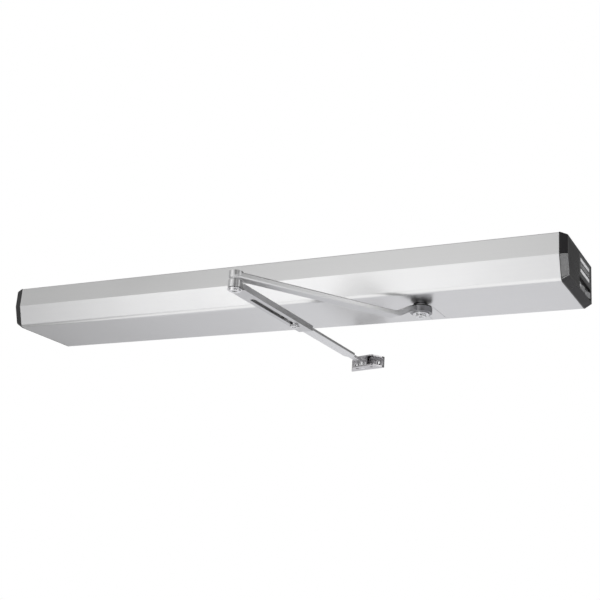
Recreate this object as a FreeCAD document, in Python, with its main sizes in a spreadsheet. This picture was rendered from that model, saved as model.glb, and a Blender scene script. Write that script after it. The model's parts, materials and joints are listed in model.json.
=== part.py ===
"""Low energy door operator: long housing, spring closer with a rack piston, geared motor, double-lever arm.

Frame: the origin is the centre of the wall face, +X runs along the housing, +Y points to the wall, +Z is up.
All lengths are millimetres and all angles are degrees.
"""
import FreeCAD, Part
import math
import os

import Sketcher

Vector = FreeCAD.Vector
doc = FreeCAD.newDocument("door_operator")

# Driving dimensions
SIZES = [
    ("coverLength", 990, "length of the extruded cover"),
    ("coverHeight", 70, "height of the cover"),
    ("coverDepth", 148, "wall to front face"),
    ("creaseHeight", 2, "height of the front crease above the middle"),
    ("facetSetback", 12, "how far the lower front facet leans back"),
    ("noseRadius", 8, "outer radius of the lower front corner"),
    ("coverWall", 2.5, "wall of the cover"),
    ("fitGap", 0.3, "gap between pieces that slide past each other"),
    ("runGap", 0.05, "radial clearance of a running fit"),
    ("notchHalfWidth", 12, "half width of the slot in the cover's underside"),
    ("spindleRoom", 1, "room round the spindle in the slot insert"),
    ("plateWall", 2.5, "sheet of the back plate and end brackets"),
    ("plateSetback", 23, "back plate's ends inside the cover's ends"),
    ("plateFlange", 22, "depth of the back plate's flanges"),
    ("wallHoleRadius", 3.5, "wall screw hole"),
    ("wallHoleInset", 32, "outer wall screws, from the ends of the back plate"),
    ("wallHoleRise", 40, "wall screws, apart in height"),
    ("middleHoleX", 10, "place of the middle pair of wall screws"),
    ("cableInset", 80, "cable entry, from the right end of the cover"),
    ("cableHoleZ", 12, "height of the cable entry"),
    ("cableHoleRadius", 8, "free bore of the cable entry grommet"),
    ("grommetWall", 2.2, "rubber between the cable and the plate"),
    ("grommetLip", 2.5, "how far the grommet's lip covers the plate"),
    ("capDepth", 12, "how far an end cap stands out"),
    ("capBand", 1.5, "straight edge band of an end cap"),
    ("capWall", 2, "side wall of an end cap"),
    ("capFace", 3, "face thickness of an end cap"),
    ("capTopInset", 4.3, "bevel at the top of an end cap"),
    ("capFrontInset", 2, "bevel at the front of an end cap"),
    ("capBottomInset", 6.5, "bevel at the bottom of an end cap"),
    ("spigotDepth", 13, "how far a cap's spigot reaches into the cover"),
    ("spigotWall", 2, "wall of the spigot"),
    ("capBossRadius", 5, "screw boss inside an end cap"),
    ("capScrewRadius", 2, "cap screw shank"),
    ("bracketDepth", 126, "depth of an end bracket"),
    ("bracketFoot", 14, "foot of an end bracket on the back plate"),
    ("bayDepth", 3, "depth of the switch bay"),
    ("bayLow", 26.2, "switch bay's lower edge below the middle"),
    ("bayHigh", 9, "switch bay's upper edge below the middle"),
    ("bayBack", 8, "switch bay's rear edge from the wall"),
    ("bayFront", 77, "switch bay's front edge from the wall"),
    ("labelTop", 28.5, "label field's upper edge above the middle"),
    ("labelLow", 6.5, "label field's lower edge below the middle"),
    ("labelDepth", 0.8, "depth of the label field"),
    ("ribPitch", 3, "pitch of the ribs on an end cap"),
    ("ribGroove", 0.5, "depth and width of the grooves between ribs"),
    ("spindleInset", 230, "spindle, from the right end of the cover"),
    ("spindleOut", 84, "distance from the wall to the spindle axis"),
    ("journalRadius", 8.5, "spindle journal"),
    ("seatRadius", 8, "spindle seat for the gear and the arm"),
    ("closerReach", 245, "closer body's left end, from the spindle"),
    ("closerRest", 62, "closer body's right end, from the spindle"),
    ("closerHalfDepth", 24, "half depth of the closer body"),
    ("closerLow", 31.5, "closer body's underside below the middle"),
    ("closerHigh", 13, "closer body's top above the middle"),
    ("closerRound", 6, "corner radius of the closer body"),
    ("pistonRadius", 16.1, "piston radius"),
    ("rackModule", 2, "module of the rack and the spindle pinion"),
    ("pinionHalfFace", 9, "half face width of the spindle pinion"),
    ("pistonHead", 11, "thickness of each piston head"),
    ("pistonTravel", 20.6, "stroke of the piston"),
    ("plugLength", 12, "length of an end plug"),
    ("adjusterLength", 26, "length of the spring adjuster"),
    ("springRadius", 14.6, "outer radius of the closing spring"),
    ("springWire", 2.4, "radius of the spring wire"),
    ("bearingRadius", 13, "outer radius of the spindle bearings"),
    ("bearingWidth", 5, "width of the spindle bearings"),
    ("gearModule", 1.5, "module of the spindle gear"),
    ("wheelModule", 1, "module of the intermediate wheel"),
    ("gearFace", 7, "face width of the spindle gear"),
    ("wheelFace", 4.2, "face width of the intermediate wheel"),
    ("caseFloor", 1.5, "floor and wall of the gear case"),
    ("caseWall", 2, "side wall of the gear case"),
    ("caseHeight", 16, "height of the gear case"),
    ("caseRoom", 1.2, "room between a gear and the case wall"),
    ("trainTurn", 150, "direction from the spindle to the intermediate axle"),
    ("motorTurn", 114, "direction from the intermediate axle to the motor"),
    ("earTurn", 11, "direction of the gear case's right ears from the spindle"),
    ("leftEarTurn", 202, "direction of the gear case's left ears from the spindle and the axle"),
    ("axleRadius", 2.5, "intermediate axle and motor shaft"),
    ("motorRadius", 25, "radius of the motor can"),
    ("motorWall", 1.5, "wall of the motor can"),
    ("motorLow", 29, "motor's lower end below the middle"),
    ("hubTop", 41.5, "arm hub's top below the middle"),
    ("hubLow", 50, "arm hub's underside below the middle"),
    ("hubRadius", 17, "arm hub radius"),
    ("armAngle", 237.4, "plan direction of the main arm at rest"),
    ("armReach", 320, "spindle to elbow"),
    ("armTop", 58, "main arm's top below the middle"),
    ("armThick", 8, "main arm thickness"),
    ("armHalfRoot", 8, "half width of the main arm at the hub"),
    ("armHalfTip", 10, "half width of the main arm at the elbow"),
    ("armBevel", 1.4, "bevel along the main arm's edges"),
    ("neckStart", 19, "where the gooseneck leaves the hub"),
    ("neckEnd", 42, "where the gooseneck reaches the bar"),
    ("neckRound", 9, "bend radius of the gooseneck"),
    ("elbowRadius", 10.3, "elbow boss and knuckle radius"),
    ("elbowTop", 56, "elbow boss top below the middle"),
    ("elbowStep", 63, "where the elbow boss starts to taper"),
    ("elbowLow", 69, "elbow boss end below the middle"),
    ("elbowNeck", 6.5, "elbow boss radius at its end"),
    ("studRadius", 5, "elbow stud"),
    ("studHead", 8.5, "head of the elbow screw"),
    ("knuckleLow", 80, "forearm knuckle's underside below the middle"),
    ("headThick", 4.7, "head of the elbow screw"),
    ("forearmAngle", 89.9, "plan direction of the forearm at rest"),
    ("forearmReach", 438.5, "elbow to shoe pin"),
    ("channelLength", 219, "slotted channel, from the elbow"),
    ("channelTop", 73.2, "channel's top below the middle"),
    ("channelLow", 82, "channel's underside below the middle"),
    ("channelFloor", 2.5, "floor of the channel"),
    ("channelWall", 1.7, "side and top walls of the channel"),
    ("barHalfWidth", 10, "half width of the forearm bar"),
    ("barThick", 4, "thickness of the forearm bar"),
    ("barStart", 160, "inner end of the bar, from the elbow"),
    ("slotStart", 52, "slot in the channel, from the elbow"),
    ("slotEnd", 188, "end of the slot, from the elbow"),
    ("slotHalfWidth", 4.2, "half width of the slot"),
    ("clampPlace", 180, "clamp screw, from the elbow"),
    ("clampRadius", 3.8, "clamp screw shank"),
    ("clampHead", 6.5, "clamp screw head radius"),
    ("clampHeadThick", 4, "clamp screw head thickness"),
    ("eyeRadius", 7, "barrel at the shoe end of the bar"),
    ("barNeck", 50, "narrow neck of the bar, up to the shoe pin"),
    ("barNeckHalf", 5.5, "half width of the bar's neck"),
    ("barShoulder", 7, "length of the shoulders beside the neck"),
    ("pressNutRadius", 6.2, "press nut in the forearm bar"),
    ("shoeAngle", -13.1, "plan turn of the shoe at rest"),
    ("shoeTop", 68, "shoe's top below the middle"),
    ("shoeLow", 87, "shoe's underside below the middle"),
    ("shoeSheet", 2.5, "thickness of the shoe's flanges"),
    ("shoeBack", 3, "thickness of the shoe's back plate"),
    ("shoeHalfWidth", 34.5, "half width of the shoe"),
    ("shoeCentre", 2.5, "middle of the shoe, beside its pin"),
    ("shoeDepth", 26, "depth of the shoe"),
    ("shoeFrontLeft", 13, "front left corner of the flanges, beside the pin"),
    ("shoeFrontRight", 28, "front right corner of the flanges, beside the pin"),
    ("shoeRound", 5, "corner radius of the flanges"),
    ("shoePinPlace", 11.8, "shoe pin, from the door face"),
    ("shoePinRadius", 4, "shoe pin"),
    ("shoeHoleRadius", 2.75, "door screw hole in the shoe"),
    ("shoeHoleSide", 24, "door screw hole, from the middle of the shoe"),
    ("boltRadius", 3, "M6 bolt shank"),
    ("boltHead", 5, "M6 bolt head radius"),
    ("boltHeadThick", 4, "M6 bolt head thickness"),
    ("spacerInset", 20, "left spacer, from the closer body's left end"),
    ("spacerRest", 15, "right spacer, from the closer body's right end"),
    ("spacerWidth", 50, "width of a spacer"),
    ("spacerHigh", 12, "spacer's top above the middle"),
    ("spacerLow", 28, "spacer's underside below the middle"),
    ("spacerWall", 3, "wall of a spacer"),
    ("controlLength", 210, "length of the control unit"),
    ("controlGap", 12, "control unit to power supply"),
    ("controlHalfHeight", 27, "half height of the control unit"),
    ("controlDepth", 62, "front of the control unit's cover, from the wall"),
    ("trayWall", 2, "wall of the control tray and covers"),
    ("boardGap", 11, "tray to circuit board"),
    ("boardThick", 1.6, "circuit board thickness"),
    ("supplyLength", 108, "length of the power supply"),
    ("supplyGap", 30, "power supply to closer body"),
    ("supplyDepth", 50, "front of the power supply, from the wall"),
    ("supplyHalfHeight", 26, "half height of the power supply"),
    ("mainsInset", 150, "mains terminal block, from the right end of the cover"),
    ("mainsWidth", 40, "width of the mains terminal block"),
    ("fuseInset", 90, "fuse holder, from the right end of the cover"),
    ("fuseLength", 30, "length of the fuse holder"),
    ("rockerWidth", 8.8, "width of both rockers"),
    ("programLength", 32, "length of the program rocker"),
    ("powerLength", 25, "length of the power rocker"),
    ("programPlace", 58, "program switch centre, from the wall"),
    ("powerPlace", 23.8, "power switch centre, from the wall"),
    ("switchDrop", 19.7, "switch centres below the middle"),
    ("bezelLip", 1.4, "bezel frame around a rocker"),
    ("switchBodyDepth", 24, "switch body behind the bay floor"),
    ("rockerTilt", 7, "tilt of a pressed rocker"),
]

sheet = doc.addObject("Spreadsheet::Sheet", "Sizes")
for row, (alias, number, meaning) in enumerate(SIZES, start=1):
    sheet.set(f"A{row}", meaning)
    sheet.set(f"B{row}", str(number))
    sheet.setAlias(f"B{row}", alias)
doc.recompute()


# Lengths that know both their value and the sheet cells they come from
class Dim:
    def __init__(self, text, value):
        self.text = text
        self.value = float(value)

    def __add__(self, other):
        other = dim(other)
        return Dim(f"({self.text} + {other.text})", self.value + other.value)

    def __sub__(self, other):
        other = dim(other)
        return Dim(f"({self.text} - {other.text})", self.value - other.value)

    def __mul__(self, other):
        other = dim(other)
        return Dim(f"{self.text} * {other.text}", self.value * other.value)

    def __truediv__(self, other):
        other = dim(other)
        return Dim(f"{self.text} / {other.text}", self.value / other.value)

    def __neg__(self):
        return Dim(f"(0 - {self.text})", -self.value)

    __radd__ = __add__
    __rmul__ = __mul__

    def __rsub__(self, other):
        return dim(other) - self


def dim(number):
    if isinstance(number, Dim):
        return number
    if number < 0:
        return Dim(f"(0 - {-number})", number)
    return Dim(str(number), number)


def root(area):
    return Dim(f"sqrt({area.text})", math.sqrt(area.value))


class Sizes:
    def __getattr__(self, alias):
        return Dim(f"Sizes.{alias}", getattr(sheet, alias))


s = Sizes()
nodes = []


# Helpers for primitives, sketches and features
def bind(item, prop, length):
    item.setExpression(prop, dim(length).text)


def shift(item, x=0, y=0, z=0):
    for axis, value in (("x", x), ("y", y), ("z", z)):
        bind(item, "Placement.Base." + axis, value)


def turn(item, angle):
    item.Placement = FreeCAD.Placement(Vector(0, 0, 0), FreeCAD.Rotation(Vector(0, 0, 1), 1))
    bind(item, "Placement.Rotation.Angle", angle)


def block(name, x, y, z):
    """A box between the low and high value along each axis."""
    item = doc.addObject("Part::Box", name)
    for prop, axis, (low, high) in (("Length", "x", x), ("Width", "y", y), ("Height", "z", z)):
        bind(item, prop, dim(high) - low)
        bind(item, "Placement.Base." + axis, low)
    return item


TURNS = {
    "x": FreeCAD.Rotation(Vector(0, 1, 0), 90),
    "y": FreeCAD.Rotation(Vector(1, 0, 0), -90),
    "z": FreeCAD.Rotation(),
}


def rod(name, axis, radius, centre, low, high, tip=None):
    """A cylinder along an axis, its centre given across it; with tip it tapers to that radius."""
    item = doc.addObject("Part::Cylinder" if tip is None else "Part::Cone", name)
    item.Placement = FreeCAD.Placement(Vector(0, 0, 0), TURNS[axis])
    if tip is None:
        bind(item, "Radius", radius)
    else:
        bind(item, "Radius1", radius)
        bind(item, "Radius2", tip)
    bind(item, "Height", dim(high) - low)
    places = list(centre)
    places.insert("xyz".index(axis), low)
    shift(item, *places)
    return item


def fuse(name, parts):
    item = doc.addObject("Part::MultiFuse", name)
    item.Shapes = parts
    return item


def cut(name, base, tools):
    item = doc.addObject("Part::Cut", name)
    item.Base = base
    item.Tool = tools[0] if len(tools) == 1 else fuse(name + "Tools", tools)
    return item


def group(name, parts):
    item = doc.addObject("Part::Compound", name)
    item.Links = parts
    return item


def keep(item, label):
    item.Label = label
    nodes.append(item)
    return item


def new_body(name):
    return doc.addObject("PartDesign::Body", name)


def new_sketch(body, plane, offset=0):
    """A sketch on one of the body's own planes, moved along the plane's normal."""
    sketch = body.newObject("Sketcher::SketchObject", body.Name + "Sketch")
    origin_plane = [item for item in body.Origin.OriginFeatures if item.Role == plane + "_Plane"][0]
    sketch.AttachmentSupport = [(origin_plane, "")]
    sketch.MapMode = "FlatFace"
    bind(sketch, "AttachmentOffset.Base.z", offset)
    return sketch


def set_point(sketch, index, place, point):
    for kind, value in (("DistanceX", point[0]), ("DistanceY", point[1])):
        value = dim(value)
        number = sketch.addConstraint(Sketcher.Constraint(kind, -1, 1, index, place, value.value))
        sketch.setExpression(f"Constraints[{number}]", value.text)


def draw_outline(sketch, points, arcs=None):
    """A closed outline. arcs gives the curved sides by number, each as (centre, radius, bulge)."""
    arcs = arcs or {}
    points = [(dim(a), dim(b)) for a, b in points]
    first = sketch.GeometryCount
    count = len(points)
    ends = []
    for side in range(count):
        start = Vector(points[side][0].value, points[side][1].value, 0)
        end = Vector(points[(side + 1) % count][0].value, points[(side + 1) % count][1].value, 0)
        if side in arcs:
            centre, radius, bulge = arcs[side]
            middle = Vector(dim(centre[0]).value, dim(centre[1]).value, 0)
            spokes = (start - middle, Vector(*bulge, 0), end - middle)
            angles = [math.atan2(place.y, place.x) for place in spokes]
            turns = [(angle - angles[0]) % (2 * math.pi) for angle in angles]
            leftwards = turns[1] < turns[2]
            span = (angles[0], angles[2]) if leftwards else (angles[2], angles[0])
            circle = Part.Circle(middle, Vector(0, 0, 1), dim(radius).value)
            sketch.addGeometry(Part.ArcOfCircle(circle, span[0],
                                                span[0] + (span[1] - span[0]) % (2 * math.pi)))
            ends.append((1, 2) if leftwards else (2, 1))
        else:
            sketch.addGeometry(Part.LineSegment(start, end))
            ends.append((1, 2))
    for side in range(count):
        following = (side + 1) % count
        sketch.addConstraint(Sketcher.Constraint(
            "Coincident", first + side, ends[side][1], first + following, ends[following][0]))
    for side in range(count):
        set_point(sketch, first + side, ends[side][0], points[side])
        if side in arcs:
            centre, _, bulge = arcs[side]
            sideways = abs(bulge[0]) > abs(bulge[1])
            value = dim(centre[0] if sideways else centre[1])
            kind = "DistanceX" if sideways else "DistanceY"
            number = sketch.addConstraint(Sketcher.Constraint(kind, -1, 1, first + side, 3, value.value))
            sketch.setExpression(f"Constraints[{number}]", value.text)


def draw_circle(sketch, centre, radius):
    centre = [dim(value) for value in centre]
    radius = dim(radius)
    middle = Vector(centre[0].value, centre[1].value, 0)
    index = sketch.addGeometry(Part.Circle(middle, Vector(0, 0, 1), radius.value))
    set_point(sketch, index, 3, centre)
    number = sketch.addConstraint(Sketcher.Constraint("Radius", index, radius.value))
    sketch.setExpression(f"Constraints[{number}]", radius.text)


def draw_slot(sketch, start, end, half):
    """A slot along the sketch's first axis between two end centres at one height."""
    height = dim(start[1])
    draw_outline(
        sketch,
        [(start[0], height - half), (end[0], height - half), (end[0], height + half),
         (start[0], height + half)],
        {1: (end, half, (1, 0)), 3: (start, half, (-1, 0))})


def pad(body, sketch, length, backwards=False, cutting=False):
    """Pads the sketch along the plane's normal, or cuts against it; backwards turns that round."""
    feature = body.newObject("PartDesign::Pocket" if cutting else "PartDesign::Pad", body.Name + "Feature")
    feature.Profile = sketch
    bind(feature, "Length", length)
    feature.Reversed = backwards
    return feature


def pattern(body, feature, sketch, axis, length, count):
    feature_pattern = body.newObject("PartDesign::LinearPattern", body.Name + "Pattern")
    feature_pattern.Originals = [feature]
    feature_pattern.Direction = (sketch, [axis])
    bind(feature_pattern, "Length", length)
    feature_pattern.Occurrences = count
    body.Tip = feature_pattern
    return feature_pattern


def ring(body, feature, count):
    polar = body.newObject("PartDesign::PolarPattern", body.Name + "Ring")
    polar.Originals = [feature]
    axis = [item for item in body.Origin.OriginFeatures if item.Role == "Z_Axis"][0]
    polar.Axis = (axis, [""])
    polar.Angle = 360
    polar.Occurrences = count
    body.Tip = polar
    return polar


def revolve(name, points):
    """A turned piece: (radius, height) points round the Z axis."""
    body = new_body(name)
    sketch = new_sketch(body, "XZ")
    draw_outline(sketch, points)
    feature = body.newObject("PartDesign::Revolution", name + "Turned")
    feature.Profile = sketch
    feature.ReferenceAxis = (sketch, ["V_Axis"])
    feature.Angle = 360
    return body


def dress(body, kind, size, wanted):
    """A fillet or chamfer on the edges of the body's tip that the test accepts."""
    doc.recompute()
    tip = body.Tip
    names = [f"Edge{i}" for i, edge in enumerate(tip.Shape.Edges, start=1) if wanted(edge)]
    if not names:
        raise ValueError("no edge found on " + body.Name)
    feature = body.newObject("PartDesign::" + kind, body.Name + kind)
    feature.Base = (tip, names)
    bind(feature, "Radius" if kind == "Fillet" else "Size", size)
    return feature


def is_straight(edge, direction):
    """True for a straight edge that lies along the given direction."""
    if len(edge.Vertexes) != 2 or edge.Curve.TypeId != "Part::GeomLine":
        return False
    run = edge.Vertexes[1].Point - edge.Vertexes[0].Point
    return abs(run.normalize().dot(direction)) > 0.999


X_AXIS = Vector(1, 0, 0)
Y_AXIS = Vector(0, 1, 0)
Z_AXIS = Vector(0, 0, 1)

# Housing outline
half_length = s.coverLength / 2
half_height = s.coverHeight / 2
facet_rise = s.creaseHeight + half_height
facet_length = root(s.facetSetback * s.facetSetback + facet_rise * facet_rise)
facet_out = facet_rise / facet_length
facet_up = s.facetSetback / facet_length
spindle_x = half_length - s.spindleInset
spindle_y = -s.spindleOut
plate_length = s.coverLength - s.plateSetback * 2
closer_left = spindle_x - s.closerReach
closer_right = spindle_x + s.closerRest
spacer_lefts = (closer_left + s.spacerInset, closer_right - s.spacerRest - s.spacerWidth)
supply_right = closer_left - s.supplyGap
supply_left = supply_right - s.supplyLength
control_right = supply_left - s.controlGap
control_left = control_right - s.controlLength
cable_x = half_length - s.cableInset


def facet_y(inset, z):
    """The leaning front facet, moved inwards by an inset, at a height."""
    lean = s.facetSetback * (s.creaseHeight + facet_up * inset - z) / facet_rise
    return lean - s.coverDepth + facet_out * inset


def housing_outline(top, front, bottom, nose, back=0):
    """The housing's section in (y, z), with its own inset at the top, front and bottom and a rounded nose."""
    floor = dim(bottom) - half_height
    roof = half_height - top
    crease = s.creaseHeight + (facet_up - (1 - facet_out) * facet_rise / s.facetSetback) * front
    centre = (facet_y(dim(front) + nose, floor + nose), floor + nose)
    points = [
        (back, roof),
        (dim(front) - s.coverDepth, roof),
        (dim(front) - s.coverDepth, crease),
        (centre[0] - facet_out * nose, centre[1] - facet_up * nose),
        (centre[0], floor),
        (back, floor)]
    return points, {3: (centre, nose, (-1, -1))}


def rim_outline(outer, inner, back):
    """A band that follows the housing's section between two insets and is open at the back."""
    outside, arcs = housing_outline(outer, outer, outer, s.noseRadius - outer, back)
    inside, inner_arcs = housing_outline(inner, inner, inner, s.noseRadius - inner, back)
    return outside + inside[::-1], {3: arcs[3], 7: inner_arcs[3]}


def rectangle(x, y):
    return [(x[0], y[0]), (x[1], y[0]), (x[1], y[1]), (x[0], y[1])]


# Cover: aluminium extrusion, open to the wall, slotted underneath for the spindle
def make_cover():
    body = new_body("Cover")
    skin = new_sketch(body, "YZ", -half_length)
    draw_outline(skin, *housing_outline(0, 0, 0, s.noseRadius))
    pad(body, skin, s.coverLength)
    hollow = new_sketch(body, "YZ", -half_length)
    draw_outline(hollow, *housing_outline(s.coverWall, s.coverWall, s.coverWall, s.noseRadius - s.coverWall,
                                          1))
    pad(body, hollow, s.coverLength, True, True)
    notch = new_sketch(body, "XY", -half_height - 1)
    draw_outline(
        notch,
        [(spindle_x - s.notchHalfWidth, 1), (spindle_x - s.notchHalfWidth, spindle_y),
         (spindle_x + s.notchHalfWidth, spindle_y), (spindle_x + s.notchHalfWidth, 1)],
        {1: ((spindle_x, spindle_y), s.notchHalfWidth, (0, -1))})
    pad(body, notch, s.coverWall + 2, True, True)
    return keep(body, "cover")


# Filler that closes the slot behind the spindle
def make_slot_insert():
    body = new_body("SlotInsert")
    sketch = new_sketch(body, "XY", -half_height)
    inner = s.notchHalfWidth - s.fitGap
    collar = s.journalRadius + s.spindleRoom
    draw_outline(
        sketch,
        [(spindle_x - inner, 0), (spindle_x - inner, spindle_y), (spindle_x - collar, spindle_y),
         (spindle_x + collar, spindle_y), (spindle_x + inner, spindle_y), (spindle_x + inner, 0)],
        {2: ((spindle_x, spindle_y), collar, (0, 1))})
    pad(body, sketch, s.coverWall)
    tab = new_sketch(body, "XY", -half_height + s.coverWall)
    clip = s.notchHalfWidth + s.coverWall
    back = (closer_back + s.fitGap, -s.plateFlange - 1)
    draw_outline(tab, rectangle((spindle_x - clip, spindle_x + clip), back))
    pad(body, tab, s.fitGap + 1)
    return keep(body, "slot_insert")


# Back plate: one bent sheet with wall screw holes and the cable entry
def make_back_plate():
    flange = half_height - s.coverWall - s.fitGap
    inner = flange - s.plateWall
    body = new_body("BackPlate")
    section = new_sketch(body, "YZ", -plate_length / 2)
    draw_outline(section, [
        (0, -flange), (0, flange), (-s.plateFlange, flange), (-s.plateFlange, inner),
        (-s.plateWall, inner), (-s.plateWall, -inner), (-s.plateFlange, -inner), (-s.plateFlange, -flange)])
    pad(body, section, plate_length)
    holes = new_sketch(body, "XZ", s.plateWall + 1)
    wall_hole_x = plate_length / 2 - s.wallHoleInset
    for x in (-wall_hole_x, wall_hole_x):
        for z in (-s.wallHoleRise / 2, s.wallHoleRise / 2):
            draw_circle(holes, (x, z), s.wallHoleRadius)
    for z in (-s.wallHoleRise / 2, s.wallHoleRise / 2):
        draw_circle(holes, (s.middleHoleX, z), s.wallHoleRadius)
    draw_circle(holes, (cable_x, s.cableHoleZ), s.cableHoleRadius + s.grommetWall)
    for place in spacer_bolt_places():
        draw_circle(holes, place, s.boltRadius + s.runGap)
    pad(body, holes, s.plateWall + 2, False, True)
    dress(body, "Fillet", s.plateWall, lambda edge: is_straight(edge, X_AXIS)
          and abs(edge.BoundBox.YMax) < 0.01 and edge.Length > plate_length.value / 2)
    return keep(body, "back_plate")


def spacer_bolt_places():
    """Bolts from the back plate into the two spacers, as (x, z)."""
    middle = (s.spacerHigh - s.spacerLow) / 2
    rise = (s.spacerHigh + s.spacerLow) / 4
    places = []
    for left in spacer_lefts:
        for z in (middle - rise, middle + rise):
            places.append((left + s.spacerWidth / 2, z))
    return places


def make_grommet():
    bore = s.cableHoleRadius
    neck = bore + s.grommetWall
    lip = neck + s.grommetLip
    edge = s.plateWall + s.grommetWall
    body = revolve("Grommet", [
        (bore, 0), (neck, 0), (neck, s.plateWall), (lip, s.plateWall), (lip, edge), (bore, edge)])
    body.Placement = FreeCAD.Placement(Vector(0, 0, 0), FreeCAD.Rotation(Vector(1, 0, 0), 90))
    shift(body, cable_x, 0, s.cableHoleZ)
    return keep(body, "cable_grommet")


# End brackets: bent sheet on the ends of the back plate, holding the caps
bracket_outer = plate_length / 2
bracket_half = half_height - s.coverWall - s.fitGap - s.plateWall - s.fitGap
boss_places = [(-s.spindleOut / 3, half_height / 2), (-s.bracketDepth + s.capBossRadius * 3, half_height / 8)]


def make_bracket(label, side):
    outer = bracket_outer * side
    inner = (bracket_outer - s.plateWall) * side
    foot = (bracket_outer - s.bracketFoot) * side
    body = new_body("Bracket" + ("Right" if side > 0 else "Left"))
    sketch = new_sketch(body, "XY", -bracket_half)
    draw_outline(sketch, [
        (outer, -s.plateWall), (outer, -s.bracketDepth), (inner, -s.bracketDepth),
        (inner, -s.plateWall * 2), (foot, -s.plateWall * 2), (foot, -s.plateWall)])
    pad(body, sketch, bracket_half * 2)
    holes = new_sketch(body, "YZ", inner - side)
    for place in boss_places:
        draw_circle(holes, place, s.capScrewRadius + s.fitGap)
    pad(body, holes, s.plateWall + 2, side > 0, True)
    return keep(body, label)


# End caps: bevelled mouldings with a spigot inside the cover and two screw bosses
def make_cap(label, side):
    start = half_length
    band = start + s.capBand
    end = start + s.capDepth
    body = new_body("Cap" + ("Right" if side > 0 else "Left"))
    face = (s.capTopInset, s.capFrontInset, s.capBottomInset)
    nose = s.noseRadius - s.capFrontInset

    def section(x, top, front, bottom, radius, back=0):
        sketch = new_sketch(body, "YZ", x * side)
        draw_outline(sketch, *housing_outline(top, front, bottom, radius, back))
        return sketch

    outer = [section(start, 0, 0, 0, s.noseRadius), section(band, 0, 0, 0, s.noseRadius),
             section(end, *face, nose)]
    loft = body.newObject("PartDesign::AdditiveLoft", body.Name + "Outside")
    loft.Profile = outer[0]
    loft.Sections = outer[1:]
    loft.Ruled = True
    wall = s.capWall
    thin = [value + wall for value in face]
    inner = [
        section(start, wall, wall, wall, s.noseRadius - wall, -wall),
        section(band, wall, wall, wall, s.noseRadius - wall, -wall),
        section(end - s.capFace, *thin, nose - wall, -wall)]
    hollow = body.newObject("PartDesign::SubtractiveLoft", body.Name + "Inside")
    hollow.Profile = inner[0]
    hollow.Sections = inner[1:]
    hollow.Ruled = True
    spigot_gap = s.coverWall + s.fitGap
    spigot_core = spigot_gap + s.spigotWall
    rim_back = -s.plateFlange - s.fitGap
    spigot = new_sketch(body, "YZ", start * side)
    draw_outline(spigot, *rim_outline(spigot_gap, spigot_core, rim_back))
    pad(body, spigot, s.spigotDepth, side > 0)
    seat = new_sketch(body, "YZ", (start + s.capBand) * side)
    draw_outline(seat, *rim_outline(s.capWall, spigot_core, rim_back))
    pad(body, seat, s.capBand, side > 0)
    bosses = new_sketch(body, "YZ", bracket_outer * side)
    for place in boss_places:
        draw_circle(bosses, place, s.capBossRadius)
    pad(body, bosses, end - s.capFace - bracket_outer, side < 0)
    pilots = new_sketch(body, "YZ", (bracket_outer - 1) * side)
    for place in boss_places:
        draw_circle(pilots, place, s.capScrewRadius + s.runGap)
    pad(body, pilots, s.spigotDepth + s.plateWall + 1, side > 0, True)
    add_ribs(body, side, end)
    if side > 0:
        add_switch_bay(body, end)
    return keep(body, label)


def add_ribs(body, side, end):
    """Fine upright grooves over the front half of the cap's face."""
    first = s.bayFront + s.ribPitch
    span = s.coverDepth - s.capFrontInset * 3 - first
    groove = new_sketch(body, "YZ", (end + 1) * side)
    draw_outline(groove, rectangle(
        (-first - s.ribGroove, -first),
        (s.capBottomInset - half_height + s.ribPitch, half_height - s.capTopInset - s.ribPitch)))
    feature = pad(body, groove, s.ribGroove + 1, side < 0, True)
    count = int(span.value / s.ribPitch.value)
    pattern(body, feature, groove, "H_Axis", s.ribPitch * (count - 1), count).Reversed = True


def switch_window(place, length):
    """The hole for a switch body in the bay floor, as (y, z) ranges."""
    half = length / 2 + s.bezelLip / 2
    tall = s.rockerWidth / 2 + s.bezelLip
    return (-place - half, -place + half), (-s.switchDrop - tall, -s.switchDrop + tall)


def add_switch_bay(body, end):
    floor = new_sketch(body, "YZ", end - s.bayDepth - s.capWall)
    draw_outline(floor, rectangle(
        (-s.bayFront - s.capWall, -s.bayBack + s.capWall), (-s.bayLow - s.capWall, s.capWall - s.bayHigh)))
    pad(body, floor, s.capWall)
    bay = new_sketch(body, "YZ", end + 1)
    draw_outline(bay, rectangle((-s.bayFront, -s.bayBack), (-s.bayLow, -s.bayHigh)))
    pad(body, bay, s.bayDepth + 1, False, True)
    windows = new_sketch(body, "YZ", end)
    for place, length in ((s.programPlace, s.programLength), (s.powerPlace, s.powerLength)):
        draw_outline(windows, rectangle(*switch_window(place, length)))
    pad(body, windows, s.bayDepth + s.capWall + 1, False, True)
    label = new_sketch(body, "YZ", end + 1)
    draw_outline(label, rectangle((-s.bayFront, -s.bayBack), (-s.labelLow, s.labelTop)))
    pad(body, label, s.labelDepth + 1, False, True)


def make_label_plate():
    end = half_length + s.capDepth
    gap = s.fitGap / 2
    return keep(block(
        "LabelPlate", (end - s.labelDepth, end), (-s.bayFront + gap, -s.bayBack - gap),
        (-s.labelLow + gap, s.labelTop - gap)), "label_plate")


def make_cap_screws():
    screws = []
    for side in (-1, 1):
        for y, z in boss_places:
            seat = bracket_outer - s.plateWall
            tip = bracket_outer + s.spigotDepth
            head = sorted((seat * side, (seat - s.capScrewRadius * 1.5) * side), key=lambda item: item.value)
            shank = sorted((seat * side, tip * side), key=lambda item: item.value)
            screws.append(fuse("CapScrew", [
                rod("CapScrewHead", "x", s.capScrewRadius * 2, (y, z), *head),
                rod("CapScrewShank", "x", s.capScrewRadius, (y, z), *shank)]))
    return keep(group("CapScrews", screws), "cap_screws")


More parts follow.
